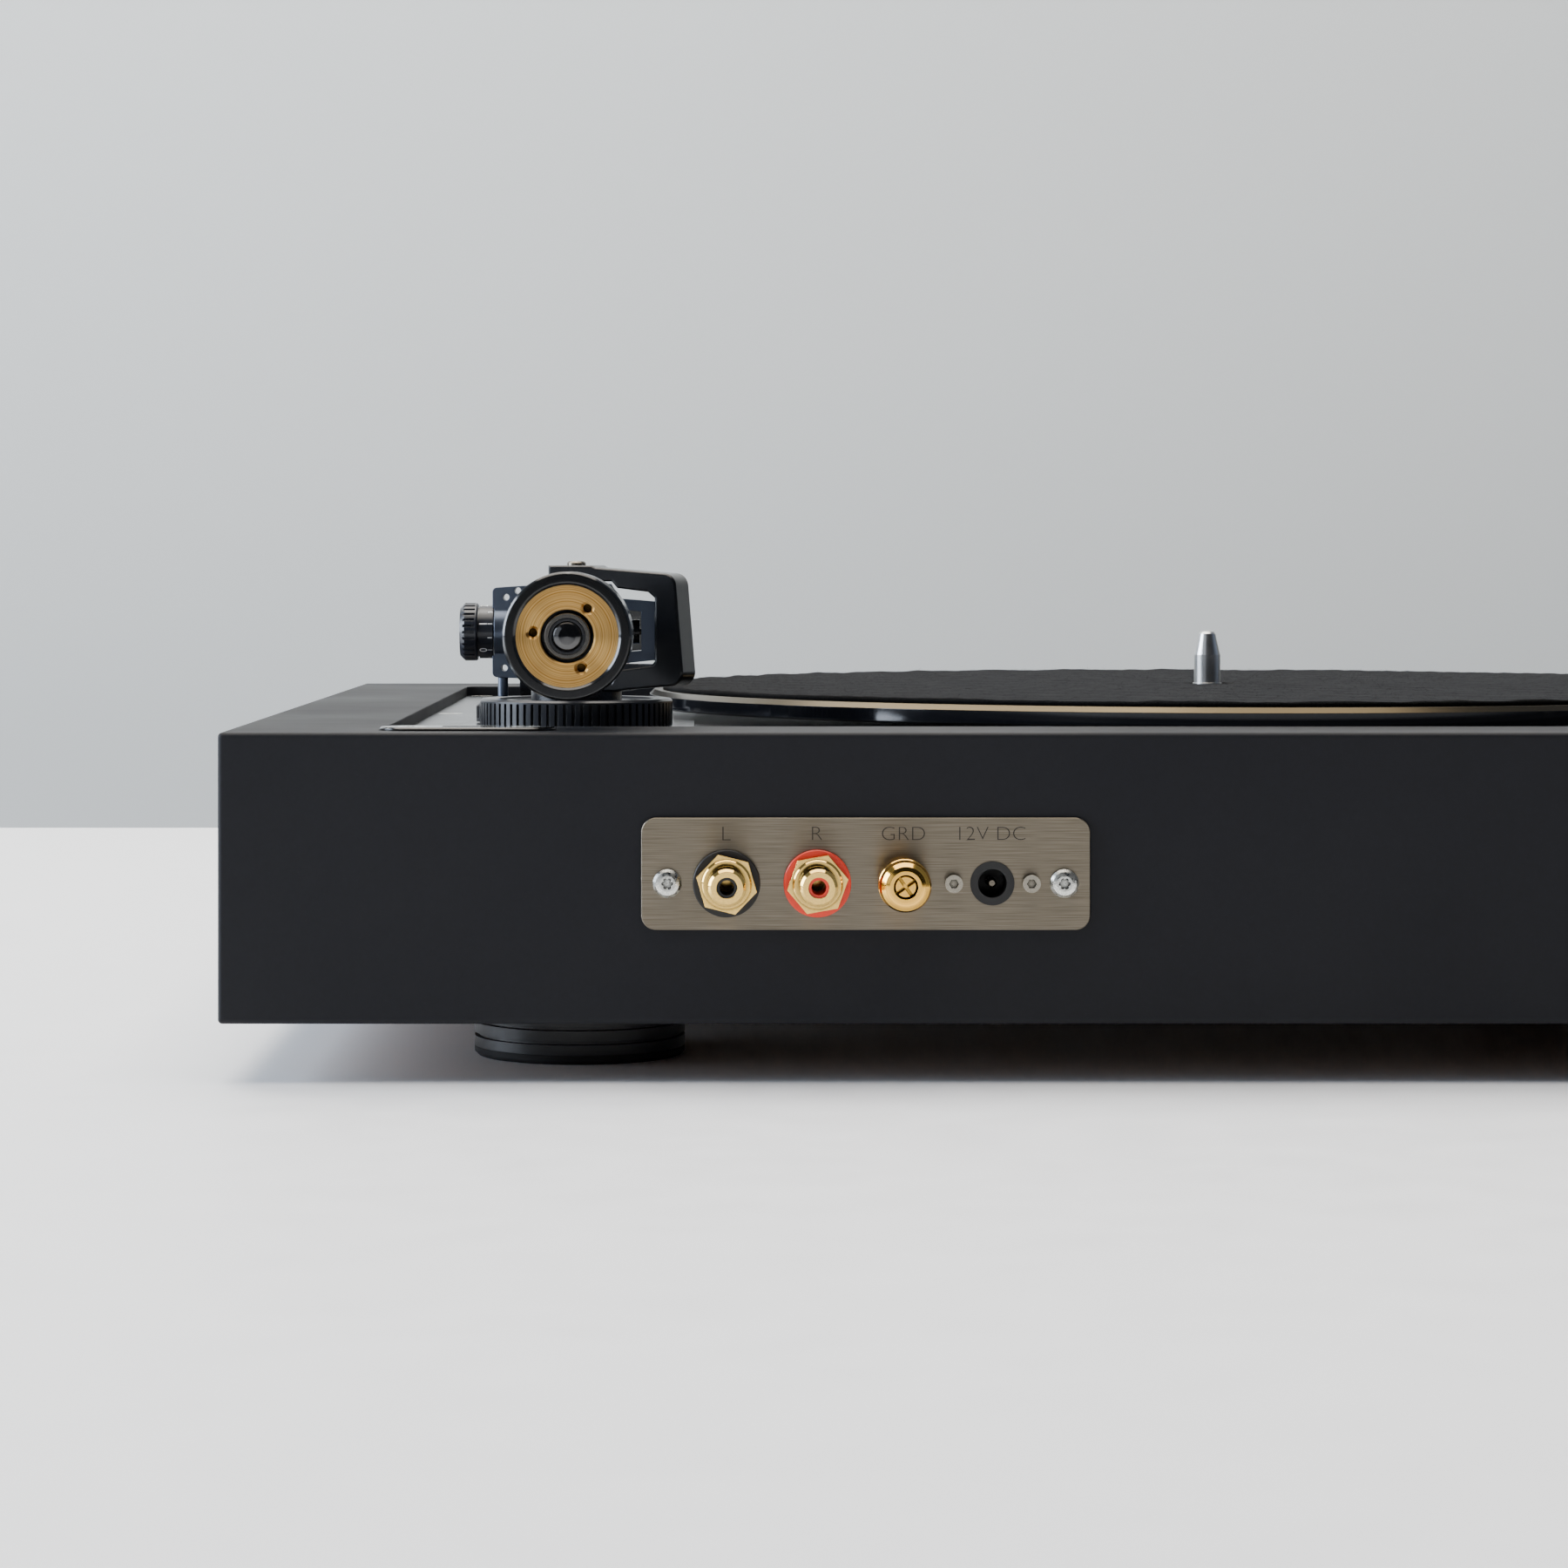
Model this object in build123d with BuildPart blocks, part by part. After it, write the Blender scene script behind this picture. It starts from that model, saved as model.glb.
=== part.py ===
from build123d import *
import os
from math import cos, radians, sin, sqrt

os.makedirs("parts", exist_ok=True)

# Turntable record player.  +Z up, floor at Z = 0, front towards -Y, tonearm on the +X side.
# The origin is on the floor, under the middle of the plinth and its rear sockets.

# ------------------------------------------------------------------ driving sizes (mm)
# plinth
plinth_width = 445.0
plinth_depth = 380.0
plinth_height = 65.0
plinth_edge = 1.0
rim_width = 35.0
wall_thickness = 22.0
ledge_width = 9.0
ledge_thickness = 12.0
opening_corner = 3.0
plate_recess = 2.7
top_plate_thickness = 3.0
plate_gap = 0.3
base_thickness = 6.0
base_rebate = 10.0
panel_screw_radius = 1.75
panel_screw_head = 3.4
panel_screw_length = 14.0
panel_screw_inset = 4.5

# feet
foot_height = 13.5
foot_radius = 25.0
foot_pad_height = 2.2
foot_pad_chamfer = 0.8
foot_inset_x = 79.0
foot_inset_y = 59.0
foot_groove_depth = 1.2
foot_groove_width = 0.8
foot_groove_heights = (5.0, 8.3)
foot_screw_radius = 2.5
foot_screw_head = 4.5
foot_screw_head_height = 3.0

# rear connector plate and sockets, measured from the plate's centre as seen from behind
plate_width = 100.0
plate_height = 25.0
plate_corner = 3.3
connector_plate_thickness = 1.0
plate_inset_x = 144.5
plate_drop = 31.4
socket_line = -2.1
left_socket_x = -31.0
right_socket_x = -10.8
ground_x = 8.4
dc_x = 28.2
end_screw_x = 44.2
dc_screw_spread = 8.65
window_width = 82.0
window_height = 17.0
end_screw_radius = 1.6
end_screw_head = 3.2
end_screw_head_height = 1.6
washer_radius = 7.5
washer_thickness = 1.2
nut_across_flats = 12.0
nut_thickness = 2.6
nut_boss_radius = 5.5
nut_boss_height = 0.8
barrel_radius = 4.15
barrel_reach = 11.8
barrel_bore = 2.3
plug_bore = 1.65
contact_radius = 2.0
contact_wall = 0.35
contact_front = 2.0
socket_thread_radius = 3.75
socket_tail = 9.0
ground_nut_radius = 5.85
ground_nut_height = 9.4
ground_stud_radius = 2.65
running_gap = 0.05
dc_hole_radius = 4.9
dc_bore_radius = 3.2
dc_pin_radius = 1.05
dc_depth = 9.5
dc_screw_radius = 1.25
dc_screw_head = 2.0
dc_screw_head_height = 1.6

# dust-cover hinge plates let into the rear rim
hinge_plate_width = 40.0
hinge_plate_depth = 13.0
hinge_plate_thickness = 2.0
hinge_plate_proud = 0.8
hinge_plate_inset_x = 55.0
hinge_plate_inset_y = 15.0
hinge_screw_spread = 26.0

# platter, mat and spindle
spindle_inset_x = 245.4
spindle_inset_y = 190.0
platter_radius = 151.5
platter_side = 3.4
platter_bevel = 1.3
platter_lift = -0.5
mat_radius = 148.0
mat_thickness = 1.5
spindle_radius = 3.55
spindle_seat_radius = 3.9
mat_hole_radius = 4.2
spindle_tip_radius = 2.25
spindle_cylinder = 7.6
spindle_cone = 5.7
spindle_dome = 0.9
shaft_radius = 5.0
shaft_length = 46.0
thrust_ball_radius = 3.0
sub_platter_radius = 65.0
sub_platter_height = 14.0
sub_platter_hub = 13.0
sub_platter_web = 4.0
belt_thickness = 1.0
belt_width = 5.0
belt_clearance = 0.3
pulley_radius = 7.5
pulley_flange = 1.2
pulley_distance = 96.0
pulley_bearing_angle = 205.0
motor_radius = 19.0
motor_height = 22.0
motor_shaft_radius = 1.5
bridge_thickness = 2.0
bridge_depth_below_plate = 27.0
bridge_width = 60.0
bearing_radius = 10.0
bearing_flange_radius = 21.0
bearing_flange_height = 4.0
bearing_floor = 4.0
bush_wall = 2.0
bush_length = 9.0
end_gap = 0.3

# controls
speed_knob_radius = 11.0
speed_knob_height = 12.0
speed_knob_inset_x = 56.0
speed_knob_inset_y = 318.0
control_shaft_radius = 3.0
antiskate_radius = 8.0
antiskate_height = 5.0

# tonearm: heights are above the plinth's top face, lengths run back from the vertical pivot
arm_inset_x = 77.6
arm_inset_y = 77.0
arm_axis_height = 21.3
base_plate_width = 57.2
base_plate_front = 54.0
base_plate_back = 37.0
base_plate_thickness = 0.8
ring_radius = 23.3
ring_top = 5.2
ring_rim = 0.9
ring_flutes = 72
ring_flute_depth = 0.7
ring_flute_width = 0.75
collar_radius = 16.5
collar_top = 3.2
pillar_radius = 11.0
pillar_flange_radius = 15.5
pillar_flange_top = 4.6
pillar_top = 7.0
frame_yaw = 22.0
frame_depth = 8.6
frame_reach = 29.8
frame_post = 7.6
frame_rise = 15.6
frame_corner = 3.2
yoke_depth = 8.0
yoke_half_width = 20.2
yoke_rise = 11.6
yoke_wall = 4.4
pivot_pin_radius = 0.8
pivot_screw_radius = 2.3
side_screw_radius = 2.0
dial_boss_radius = 6.55
dial_boss_end = 19.7
dial_drum_end = 23.5
dial_end = 28.1
dial_radius = 7.0
dial_flutes = 28
dial_gap = 0.3
block_width = 14.0
block_height = 13.0
block_length = 12.0
tube_radius = 4.4
tube_wall = 0.6
stub_radius = 4.2
stub_end = 66.2
stub_bore = 3.45
weight_radius = 14.6
weight_front = 39.5
weight_back = 67.0
brass_radius = 11.6
brass_bore = 6.05
brass_thickness = 6.5
sleeve_radius = 5.3
shell_joint = 203.0
shell_angle = 25.0
shell_reach = 20.0
stylus_drop = 13.3
shell_width = 18.0
shell_length = 34.0
cartridge_length = 26.0
cartridge_width = 16.5
cartridge_height = 8.6
rest_distance = 95.0
rest_gap = 0.4
cue_radius = 38.0
cue_angle = 10.0
cue_sweep = 42.0
cue_drop = 4.2
cue_bar = 2.2
cue_housing_radius = 5.5
cue_piston_radius = 1.5
cue_axis_height = 7.0
cue_lever_length = 28.0
antiskate_x = 18.0
antiskate_y = -30.0

# ------------------------------------------------------------------ places
connector_reach = connector_plate_thickness + washer_thickness + barrel_reach
x_side = plinth_width / 2
y_rear = (plinth_depth - connector_reach) / 2
y_middle = y_rear - plinth_depth / 2
z_plinth = foot_height
z_top = z_plinth + plinth_height
z_deck = z_top - plate_recess
z_plate_under = z_deck - top_plate_thickness
z_base_top = z_plinth + base_thickness

x_spindle = x_side - spindle_inset_x
y_spindle = y_rear - spindle_inset_y
z_platter = z_top + platter_lift
z_mat = z_platter + platter_side + platter_bevel
z_record = z_mat + mat_thickness

x_pivot = x_side - arm_inset_x
y_pivot = y_rear - arm_inset_y
z_axis = z_top + arm_axis_height

opening_width = plinth_width - 2 * rim_width
opening_depth = plinth_depth - 2 * rim_width
plinth_plane = Plane((0, y_middle, z_plinth))
top_plane = Plane((0, y_middle, z_top))
rear_plane = Plane(
    (x_side - plate_inset_x, y_rear, z_top - plate_drop), x_dir=(-1, 0, 0), z_dir=(0, 1, 0)
)
spindle_plane = Plane((x_spindle, y_spindle, 0))
pivot_plane = Plane((x_pivot, y_pivot, 0))
yoke_plane = Plane((x_pivot, y_pivot, z_top), x_dir=(1, 0, 0), z_dir=(0, -1, 0))
frame_plane = Plane(
    (x_pivot, y_pivot, z_top),
    x_dir=(-cos(radians(frame_yaw)), sin(radians(frame_yaw)), 0),
    z_dir=(sin(radians(frame_yaw)), cos(radians(frame_yaw)), 0),
)
side_plane = Plane((x_pivot, y_pivot, z_axis), x_dir=(0, 1, 0), z_dir=(1, 0, 0))
arm_plane = Plane((x_pivot, y_pivot, z_axis), x_dir=(1, 0, 0), z_dir=(0, 1, 0))


def spin(seat, profile, mode=Mode.ADD):
    """Turn (radius, height) points about the seat plane's normal, into the open part."""
    section = Plane(seat.origin, x_dir=seat.x_dir, z_dir=-seat.y_dir)
    with BuildSketch(section) as outline:
        with BuildLine():
            Polyline(*profile, close=True)
        make_face()
    revolve(outline.sketch, axis=Axis(seat.origin, seat.z_dir), mode=mode)


def drill(seat, places, radius, depth):
    """Cut straight holes of one size from the seat plane, against its normal."""
    with BuildSketch(seat) as holes:
        with Locations(*places):
            Circle(radius)
    extrude(holes.sketch, amount=-depth, mode=Mode.SUBTRACT)


def screws(seat, places, radius, length, head_radius, head_height, drive_radius):
    """Identical screws: heads stand on the seat plane, shanks run against its normal."""
    with BuildPart() as group:
        with BuildSketch(seat):
            with Locations(*places):
                Circle(head_radius)
        extrude(amount=head_height)
        with BuildSketch(seat):
            with Locations(*places):
                Circle(radius)
        extrude(amount=-length)
        with BuildSketch(seat.offset(head_height)):
            with Locations(*places):
                RegularPolygon(drive_radius, 6)
        extrude(amount=-head_height * 0.6, mode=Mode.SUBTRACT)
    return group


# ================================================================== plinth
window_centre = (0, socket_line)
half_w = plinth_width / 2
half_d = plinth_depth / 2
foot_places = [
    (sx * (half_w - foot_inset_x), sy * (half_d - foot_inset_y)) for sx in (-1, 1) for sy in (-1, 1)
]
base_width = plinth_width - 2 * (wall_thickness - base_rebate)
base_depth = plinth_depth - 2 * (wall_thickness - base_rebate)
base_screw_places = [
    (sx * (base_width / 2 - panel_screw_inset), sy * (base_depth / 2 - panel_screw_inset) * fy)
    for sx in (-1, 1)
    for sy in (-1, 1)
    for fy in (1.0, 0.3)
]
plate_width_x = opening_width - 2 * plate_gap
plate_depth_y = opening_depth - 2 * plate_gap
deck_screw_places = [
    (sx * (plate_width_x / 2 - panel_screw_inset), sy * (plate_depth_y / 2 - panel_screw_inset) * fy)
    for sx in (-1, 1)
    for sy, fy in ((-1, 1.0), (1, 1.0), (1, 0.0))
]
hinge_places = [(sx * (half_w - hinge_plate_inset_x), half_d - hinge_plate_inset_y) for sx in (-1, 1)]
hinge_screw_places = [
    (x + side * hinge_screw_spread / 2, y) for x, y in hinge_places for side in (-1, 1)
]
end_screw_places = [(-end_screw_x, socket_line), (end_screw_x, socket_line)]
hinge_seat = top_plane.offset(hinge_plate_proud - hinge_plate_thickness)
hinge_face = top_plane.offset(hinge_plate_proud)

with BuildPart() as plinth_body:
    with BuildSketch(plinth_plane):
        Rectangle(plinth_width, plinth_depth)
    extrude(amount=plinth_height)
    fillet(plinth_body.edges(), plinth_edge)
    with BuildSketch(top_plane):
        RectangleRounded(opening_width, opening_depth, opening_corner)
    extrude(amount=-(plate_recess + top_plate_thickness), mode=Mode.SUBTRACT)
    with BuildSketch(top_plane):
        Rectangle(opening_width - 2 * ledge_width, opening_depth - 2 * ledge_width)
    extrude(amount=-plinth_height, mode=Mode.SUBTRACT)
    with BuildSketch(plinth_plane):
        Rectangle(plinth_width - 2 * wall_thickness, plinth_depth - 2 * wall_thickness)
    extrude(
        amount=plinth_height - plate_recess - top_plate_thickness - ledge_thickness,
        mode=Mode.SUBTRACT,
    )
    with BuildSketch(plinth_plane):
        Rectangle(base_width + 2 * plate_gap, base_depth + 2 * plate_gap)
    extrude(amount=base_thickness, mode=Mode.SUBTRACT)
    with BuildSketch(rear_plane):
        with Locations(window_centre):
            Rectangle(window_width, window_height)
    extrude(amount=-wall_thickness - 1, mode=Mode.SUBTRACT)
    with BuildSketch(hinge_seat):
        with Locations(*hinge_places):
            SlotOverall(hinge_plate_width + 2 * plate_gap, hinge_plate_depth + 2 * plate_gap)
    extrude(amount=hinge_plate_thickness, mode=Mode.SUBTRACT)
    drill(hinge_seat, hinge_screw_places, panel_screw_radius, panel_screw_length)
    drill(rear_plane, end_screw_places, end_screw_radius, panel_screw_length)
    drill(
        Plane((0, y_middle, z_plate_under)), deck_screw_places, panel_screw_radius,
        panel_screw_length - top_plate_thickness,
    )
    drill(
        Plane((0, y_middle, z_base_top + panel_screw_length - base_thickness)),
        base_screw_places, panel_screw_radius, panel_screw_length - base_thickness,
    )
plinth_body.part.label = "plinth_body"
export_step(plinth_body.part, "parts/plinth_body.step")

with BuildPart() as base_board:
    with BuildSketch(plinth_plane):
        Rectangle(base_width, base_depth)
    extrude(amount=base_thickness)
    drill(Plane((0, y_middle, z_base_top)), foot_places, foot_screw_radius, base_thickness)
    drill(Plane((0, y_middle, z_base_top)), base_screw_places, panel_screw_radius, base_thickness)
    drill(
        plinth_plane.offset(base_thickness / 3), base_screw_places, panel_screw_head,
        base_thickness / 3,
    )
base_board.part.label = "base_board"
export_step(base_board.part, "parts/base_board.step")

# flat-headed wood screws: through the deck, up through the base board, and in the hinge plates
deck_screw_seat = top_plane.offset(-plate_recess - top_plate_thickness / 3)
base_screw_seat = Plane(
    (0, y_middle, z_plinth + base_thickness / 3), x_dir=(1, 0, 0), z_dir=(0, 0, -1)
)
base_screw_seen = [(x, -y) for x, y in base_screw_places]
deck_screws = screws(
    deck_screw_seat, deck_screw_places, panel_screw_radius,
    panel_screw_length - top_plate_thickness / 3, panel_screw_head, top_plate_thickness / 3, 1.4,
)
base_screws = screws(
    base_screw_seat, base_screw_seen, panel_screw_radius, panel_screw_length - base_thickness / 3,
    panel_screw_head, base_thickness / 3, 1.4,
)
hinge_screws = screws(
    hinge_face.offset(-top_plate_thickness / 3), hinge_screw_places, panel_screw_radius,
    panel_screw_length - top_plate_thickness / 3, panel_screw_head, top_plate_thickness / 3, 1.4,
)
with BuildPart() as panel_screws:
    add(deck_screws.part)
    add(base_screws.part)
    add(hinge_screws.part)
panel_screws.part.label = "panel_screws"
export_step(panel_screws.part, "parts/panel_screws.step")

# ------------------------------------------------------------------ feet
with BuildPart() as feet:
    for fx, fy in foot_places:
        seat = Plane((fx, y_middle + fy, 0))
        rim = [(foot_radius, foot_pad_height)]
        for groove in foot_groove_heights:
            low = groove - foot_groove_width / 2
            high = groove + foot_groove_width / 2
            floor = foot_radius - foot_groove_depth
            rim += [(foot_radius, low), (floor, low), (floor, high), (foot_radius, high)]
        rim += [(foot_radius, foot_height - 0.6), (foot_radius - 0.6, foot_height)]
        head_seat = foot_height - foot_screw_head_height * 2
        spin(
            seat,
            [(foot_screw_head, foot_pad_height)] + rim
            + [(foot_screw_radius, foot_height), (foot_screw_radius, head_seat),
               (foot_screw_head, head_seat)],
        )
feet.part.label = "feet"
export_step(feet.part, "parts/feet.step")

with BuildPart() as foot_pads:
    for fx, fy in foot_places:
        spin(
            Plane((fx, y_middle + fy, 0)),
            [(foot_screw_head, 0), (foot_radius - foot_pad_chamfer, 0),
             (foot_radius, foot_pad_chamfer), (foot_radius, foot_pad_height),
             (foot_screw_head, foot_pad_height)],
        )
foot_pads.part.label = "foot_pads"
export_step(foot_pads.part, "parts/foot_pads.step")

foot_screw_seat = Plane(
    (0, y_middle, foot_height - 2 * foot_screw_head_height), x_dir=(1, 0, 0), z_dir=(0, 0, -1)
)
foot_screws = screws(
    foot_screw_seat, [(x, -y) for x, y in foot_places], foot_screw_radius,
    2 * foot_screw_head_height + base_thickness, foot_screw_head, foot_screw_head_height, 2.2,
)
foot_screws.part.label = "foot_screws"
export_step(foot_screws.part, "parts/foot_screws.step")

# ------------------------------------------------------------------ dust-cover hinge plates
with BuildPart() as cover_hinge_plates:
    with BuildSketch(hinge_seat):
        with Locations(*hinge_places):
            SlotOverall(hinge_plate_width, hinge_plate_depth)
    extrude(amount=hinge_plate_thickness)
    chamfer(
        cover_hinge_plates.faces().filter_by(Axis.Z).group_by(Axis.Z)[-1].edges(), 0.35
    )
    with BuildSketch(hinge_face):
        with Locations(*hinge_places):
            Rectangle(hinge_screw_spread * 0.45, hinge_plate_depth * 0.4)
    extrude(amount=-hinge_plate_thickness * 0.6, mode=Mode.SUBTRACT)
    drill(hinge_face, hinge_screw_places, panel_screw_radius, 2 * hinge_plate_thickness)
    drill(hinge_face, hinge_screw_places, panel_screw_head, top_plate_thickness / 3)
cover_hinge_plates.part.label = "cover_hinge_plates"
export_step(cover_hinge_plates.part, "parts/cover_hinge_plates.step")

# ================================================================== rear connector plate
plate_face = rear_plane.offset(connector_plate_thickness)
socket_places = [(left_socket_x, socket_line), (right_socket_x, socket_line)]
dc_screw_places = [(dc_x - dc_screw_spread, socket_line), (dc_x + dc_screw_spread, socket_line)]

with BuildPart() as connector_plate:
    with BuildSketch(rear_plane):
        RectangleRounded(plate_width, plate_height, plate_corner)
    extrude(amount=connector_plate_thickness)
    chamfer(connector_plate.faces().sort_by(Axis.Y)[-1].edges(), 0.15)
    drill(plate_face, socket_places, socket_thread_radius, connector_plate_thickness)
    drill(plate_face, [(ground_x, socket_line)], ground_stud_radius, connector_plate_thickness)
    drill(plate_face, [(dc_x, socket_line)], dc_hole_radius, connector_plate_thickness)
    drill(plate_face, dc_screw_places, dc_screw_radius, connector_plate_thickness)
    drill(plate_face, end_screw_places, end_screw_radius, connector_plate_thickness)
connector_plate.part.label = "connector_plate"
export_step(connector_plate.part, "parts/connector_plate.step")

with BuildPart() as connector_screws:
    for x, y in end_screw_places:
        seat = plate_face.shift_origin(plate_face.from_local_coords((x, y, 0)))
        spin(
            seat,
            [(0, -panel_screw_length), (end_screw_radius, -panel_screw_length), (end_screw_radius, 0),
             (end_screw_head, 0), (end_screw_head, end_screw_head_height * 0.4),
             (end_screw_head * 0.82, end_screw_head_height * 0.85),
             (end_screw_head * 0.55, end_screw_head_height), (0, end_screw_head_height)],
        )
        with BuildSketch(seat.offset(end_screw_head_height)):
            with PolarLocations(end_screw_head * 0.28, 6):
                Circle(end_screw_head * 0.13)
            Circle(end_screw_head * 0.3)
        extrude(amount=-end_screw_head_height * 0.6, mode=Mode.SUBTRACT)
connector_screws.part.label = "connector_screws"
export_step(connector_screws.part, "parts/connector_screws.step")


def socket_seat(x):
    """The seat on the connector plate's outer face for the fitting at x."""
    return plate_face.shift_origin(plate_face.from_local_coords((x, socket_line, 0)))


with BuildPart() as left_socket_washer:
    spin(
        socket_seat(left_socket_x),
        [(socket_thread_radius, 0), (washer_radius, 0), (washer_radius, washer_thickness - 0.2),
         (washer_radius - 0.2, washer_thickness), (socket_thread_radius, washer_thickness)],
    )
left_socket_washer.part.label = "left_socket_washer"
export_step(left_socket_washer.part, "parts/left_socket_washer.step")

with BuildPart() as right_socket_washer:
    spin(
        socket_seat(right_socket_x),
        [(socket_thread_radius, 0), (washer_radius, 0), (washer_radius, washer_thickness - 0.2),
         (washer_radius - 0.2, washer_thickness), (socket_thread_radius, washer_thickness)],
    )
right_socket_washer.part.label = "right_socket_washer"
export_step(right_socket_washer.part, "parts/right_socket_washer.step")

# gold-plated socket bodies: hexagon flange, round boss, plain barrel and rear thread
barrel_end = washer_thickness + barrel_reach
nut_top = washer_thickness + nut_thickness
boss_top = nut_top + nut_boss_height
with BuildPart() as phono_sockets:
    for x, turn in ((left_socket_x, -14.0), (right_socket_x, 10.0)):
        seat = socket_seat(x)
        with BuildSketch(seat.offset(washer_thickness)):
            RegularPolygon(nut_across_flats / sqrt(3), 6, rotation=turn)
        extrude(amount=nut_thickness)
        spin(
            seat,
            [(barrel_bore, -socket_tail), (socket_thread_radius, -socket_tail),
             (socket_thread_radius, nut_top - 0.2), (nut_boss_radius, nut_top - 0.2),
             (nut_boss_radius, boss_top - 0.3), (nut_boss_radius - 0.3, boss_top),
             (barrel_radius, boss_top), (barrel_radius, barrel_end - 0.6),
             (barrel_radius - 0.6, barrel_end), (barrel_bore, barrel_end)],
        )
        drill(seat.offset(barrel_end), [(0, 0)], barrel_bore, barrel_end + socket_tail)
phono_sockets.part.label = "phono_sockets"
export_step(phono_sockets.part, "parts/phono_sockets.step")

insulator_profile = [
    (contact_radius, -socket_tail - 1.5), (barrel_bore, -socket_tail - 1.5),
    (barrel_bore, barrel_end - 0.5), (plug_bore, barrel_end - 0.5),
    (plug_bore, contact_front), (contact_radius, contact_front),
]
with BuildPart() as left_socket_insulator:
    spin(socket_seat(left_socket_x), insulator_profile)
left_socket_insulator.part.label = "left_socket_insulator"
export_step(left_socket_insulator.part, "parts/left_socket_insulator.step")

with BuildPart() as right_socket_insulator:
    spin(socket_seat(right_socket_x), insulator_profile)
right_socket_insulator.part.label = "right_socket_insulator"
export_step(right_socket_insulator.part, "parts/right_socket_insulator.step")

# nuts behind the plate, each with its solder tag, and the centre contacts inside the sockets
with BuildPart() as socket_rear_nuts:
    for x in (left_socket_x, right_socket_x):
        seat = socket_seat(x).offset(-connector_plate_thickness)
        with BuildSketch(seat):
            RegularPolygon(nut_across_flats / sqrt(3), 6)
            Circle(socket_thread_radius, mode=Mode.SUBTRACT)
        extrude(amount=-nut_thickness)
socket_rear_nuts.part.label = "socket_rear_nuts"
export_step(socket_rear_nuts.part, "parts/socket_rear_nuts.step")

with BuildPart() as socket_contacts:
    for x in (left_socket_x, right_socket_x):
        spin(
            socket_seat(x),
            [(0, -socket_tail - 4.0), (contact_radius, -socket_tail - 4.0),
             (contact_radius, contact_front), (contact_radius - contact_wall, contact_front),
             (contact_radius - contact_wall, -4.0), (0, -4.0)],
        )
socket_contacts.part.label = "socket_contacts"
export_step(socket_contacts.part, "parts/socket_contacts.step")

# ground terminal: slotted brass stud with a collar, and a domed thumb nut that turns on it
ground_seat = socket_seat(ground_x)
ground_collar = 1.2
ground_nut_low = ground_collar + 0.4
ground_nut_top = ground_nut_low + ground_nut_height
with BuildPart() as ground_post:
    spin(
        ground_seat,
        [(0, -socket_tail), (ground_stud_radius, -socket_tail), (ground_stud_radius, 0),
         (ground_nut_radius - 1.0, 0), (ground_nut_radius - 1.0, ground_collar),
         (ground_stud_radius, ground_collar), (ground_stud_radius, ground_nut_top - 1.2),
         (ground_stud_radius - 0.4, ground_nut_top - 0.8), (0, ground_nut_top - 0.8)],
    )
    with BuildSketch(ground_seat.offset(ground_nut_top - 0.8)):
        for turn in (35.0, 125.0):
            Rectangle(ground_stud_radius * 2.2, 0.7, rotation=turn)
    extrude(amount=-2.5, mode=Mode.SUBTRACT)
ground_post.part.label = "ground_post"
export_step(ground_post.part, "parts/ground_post.step")

ground_bore = ground_stud_radius + running_gap
with BuildPart() as ground_thumb_nut:
    spin(
        ground_seat,
        [(ground_bore, ground_nut_low), (ground_nut_radius - 0.3, ground_nut_low),
         (ground_nut_radius, ground_nut_low + 0.3), (ground_nut_radius, ground_nut_low + 4.2),
         (ground_nut_radius - 0.5, ground_nut_low + 4.7), (ground_nut_radius - 0.5, ground_nut_low + 5.4),
         (ground_nut_radius - 0.1, ground_nut_low + 5.9),
         (ground_nut_radius - 0.1, ground_nut_top - 2.2), (ground_nut_radius - 0.5, ground_nut_top - 1.1),
         (ground_nut_radius - 1.4, ground_nut_top - 0.3), (ground_nut_radius - 2.3, ground_nut_top),
         (ground_bore, ground_nut_top)],
    )
ground_thumb_nut.part.label = "ground_thumb_nut"
export_step(ground_thumb_nut.part, "parts/ground_thumb_nut.step")

# low-voltage power inlet
dc_seat = socket_seat(dc_x)
dc_behind = -connector_plate_thickness
with BuildPart() as dc_jack:
    with BuildSketch(dc_seat.offset(dc_behind)):
        SlotOverall(2 * dc_screw_spread + 4 * dc_screw_radius, 4 * dc_screw_radius + 4)
    extrude(amount=-2.0)
    with BuildSketch(dc_seat.offset(dc_behind)):
        Rectangle(2 * dc_hole_radius + 2, 2 * dc_hole_radius + 1)
    extrude(amount=-(dc_depth + 3))
    with BuildSketch(dc_seat.offset(dc_behind)):
        Circle(dc_hole_radius)
    extrude(amount=connector_plate_thickness + 0.2)
    drill(dc_seat.offset(0.2), [(0, 0)], dc_bore_radius, dc_depth + 0.2)
    drill(
        dc_seat, [(-dc_screw_spread, 0), (dc_screw_spread, 0)], dc_screw_radius,
        2.0 + connector_plate_thickness,
    )
dc_jack.part.label = "dc_jack"
export_step(dc_jack.part, "parts/dc_jack.step")

with BuildPart() as dc_jack_pin:
    spin(
        dc_seat,
        [(0, -dc_depth), (dc_pin_radius, -dc_depth), (dc_pin_radius, -1.6),
         (dc_pin_radius - 0.4, -1.0), (0, -1.0)],
    )
dc_jack_pin.part.label = "dc_jack_pin"
export_step(dc_jack_pin.part, "parts/dc_jack_pin.step")

dc_jack_screws = screws(
    plate_face, dc_screw_places, dc_screw_radius, 2.0 + connector_plate_thickness, dc_screw_head,
    dc_screw_head_height, dc_screw_head * 0.55,
)
dc_jack_screws.part.label = "dc_jack_screws"
export_step(dc_jack_screws.part, "parts/dc_jack_screws.step")

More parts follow.
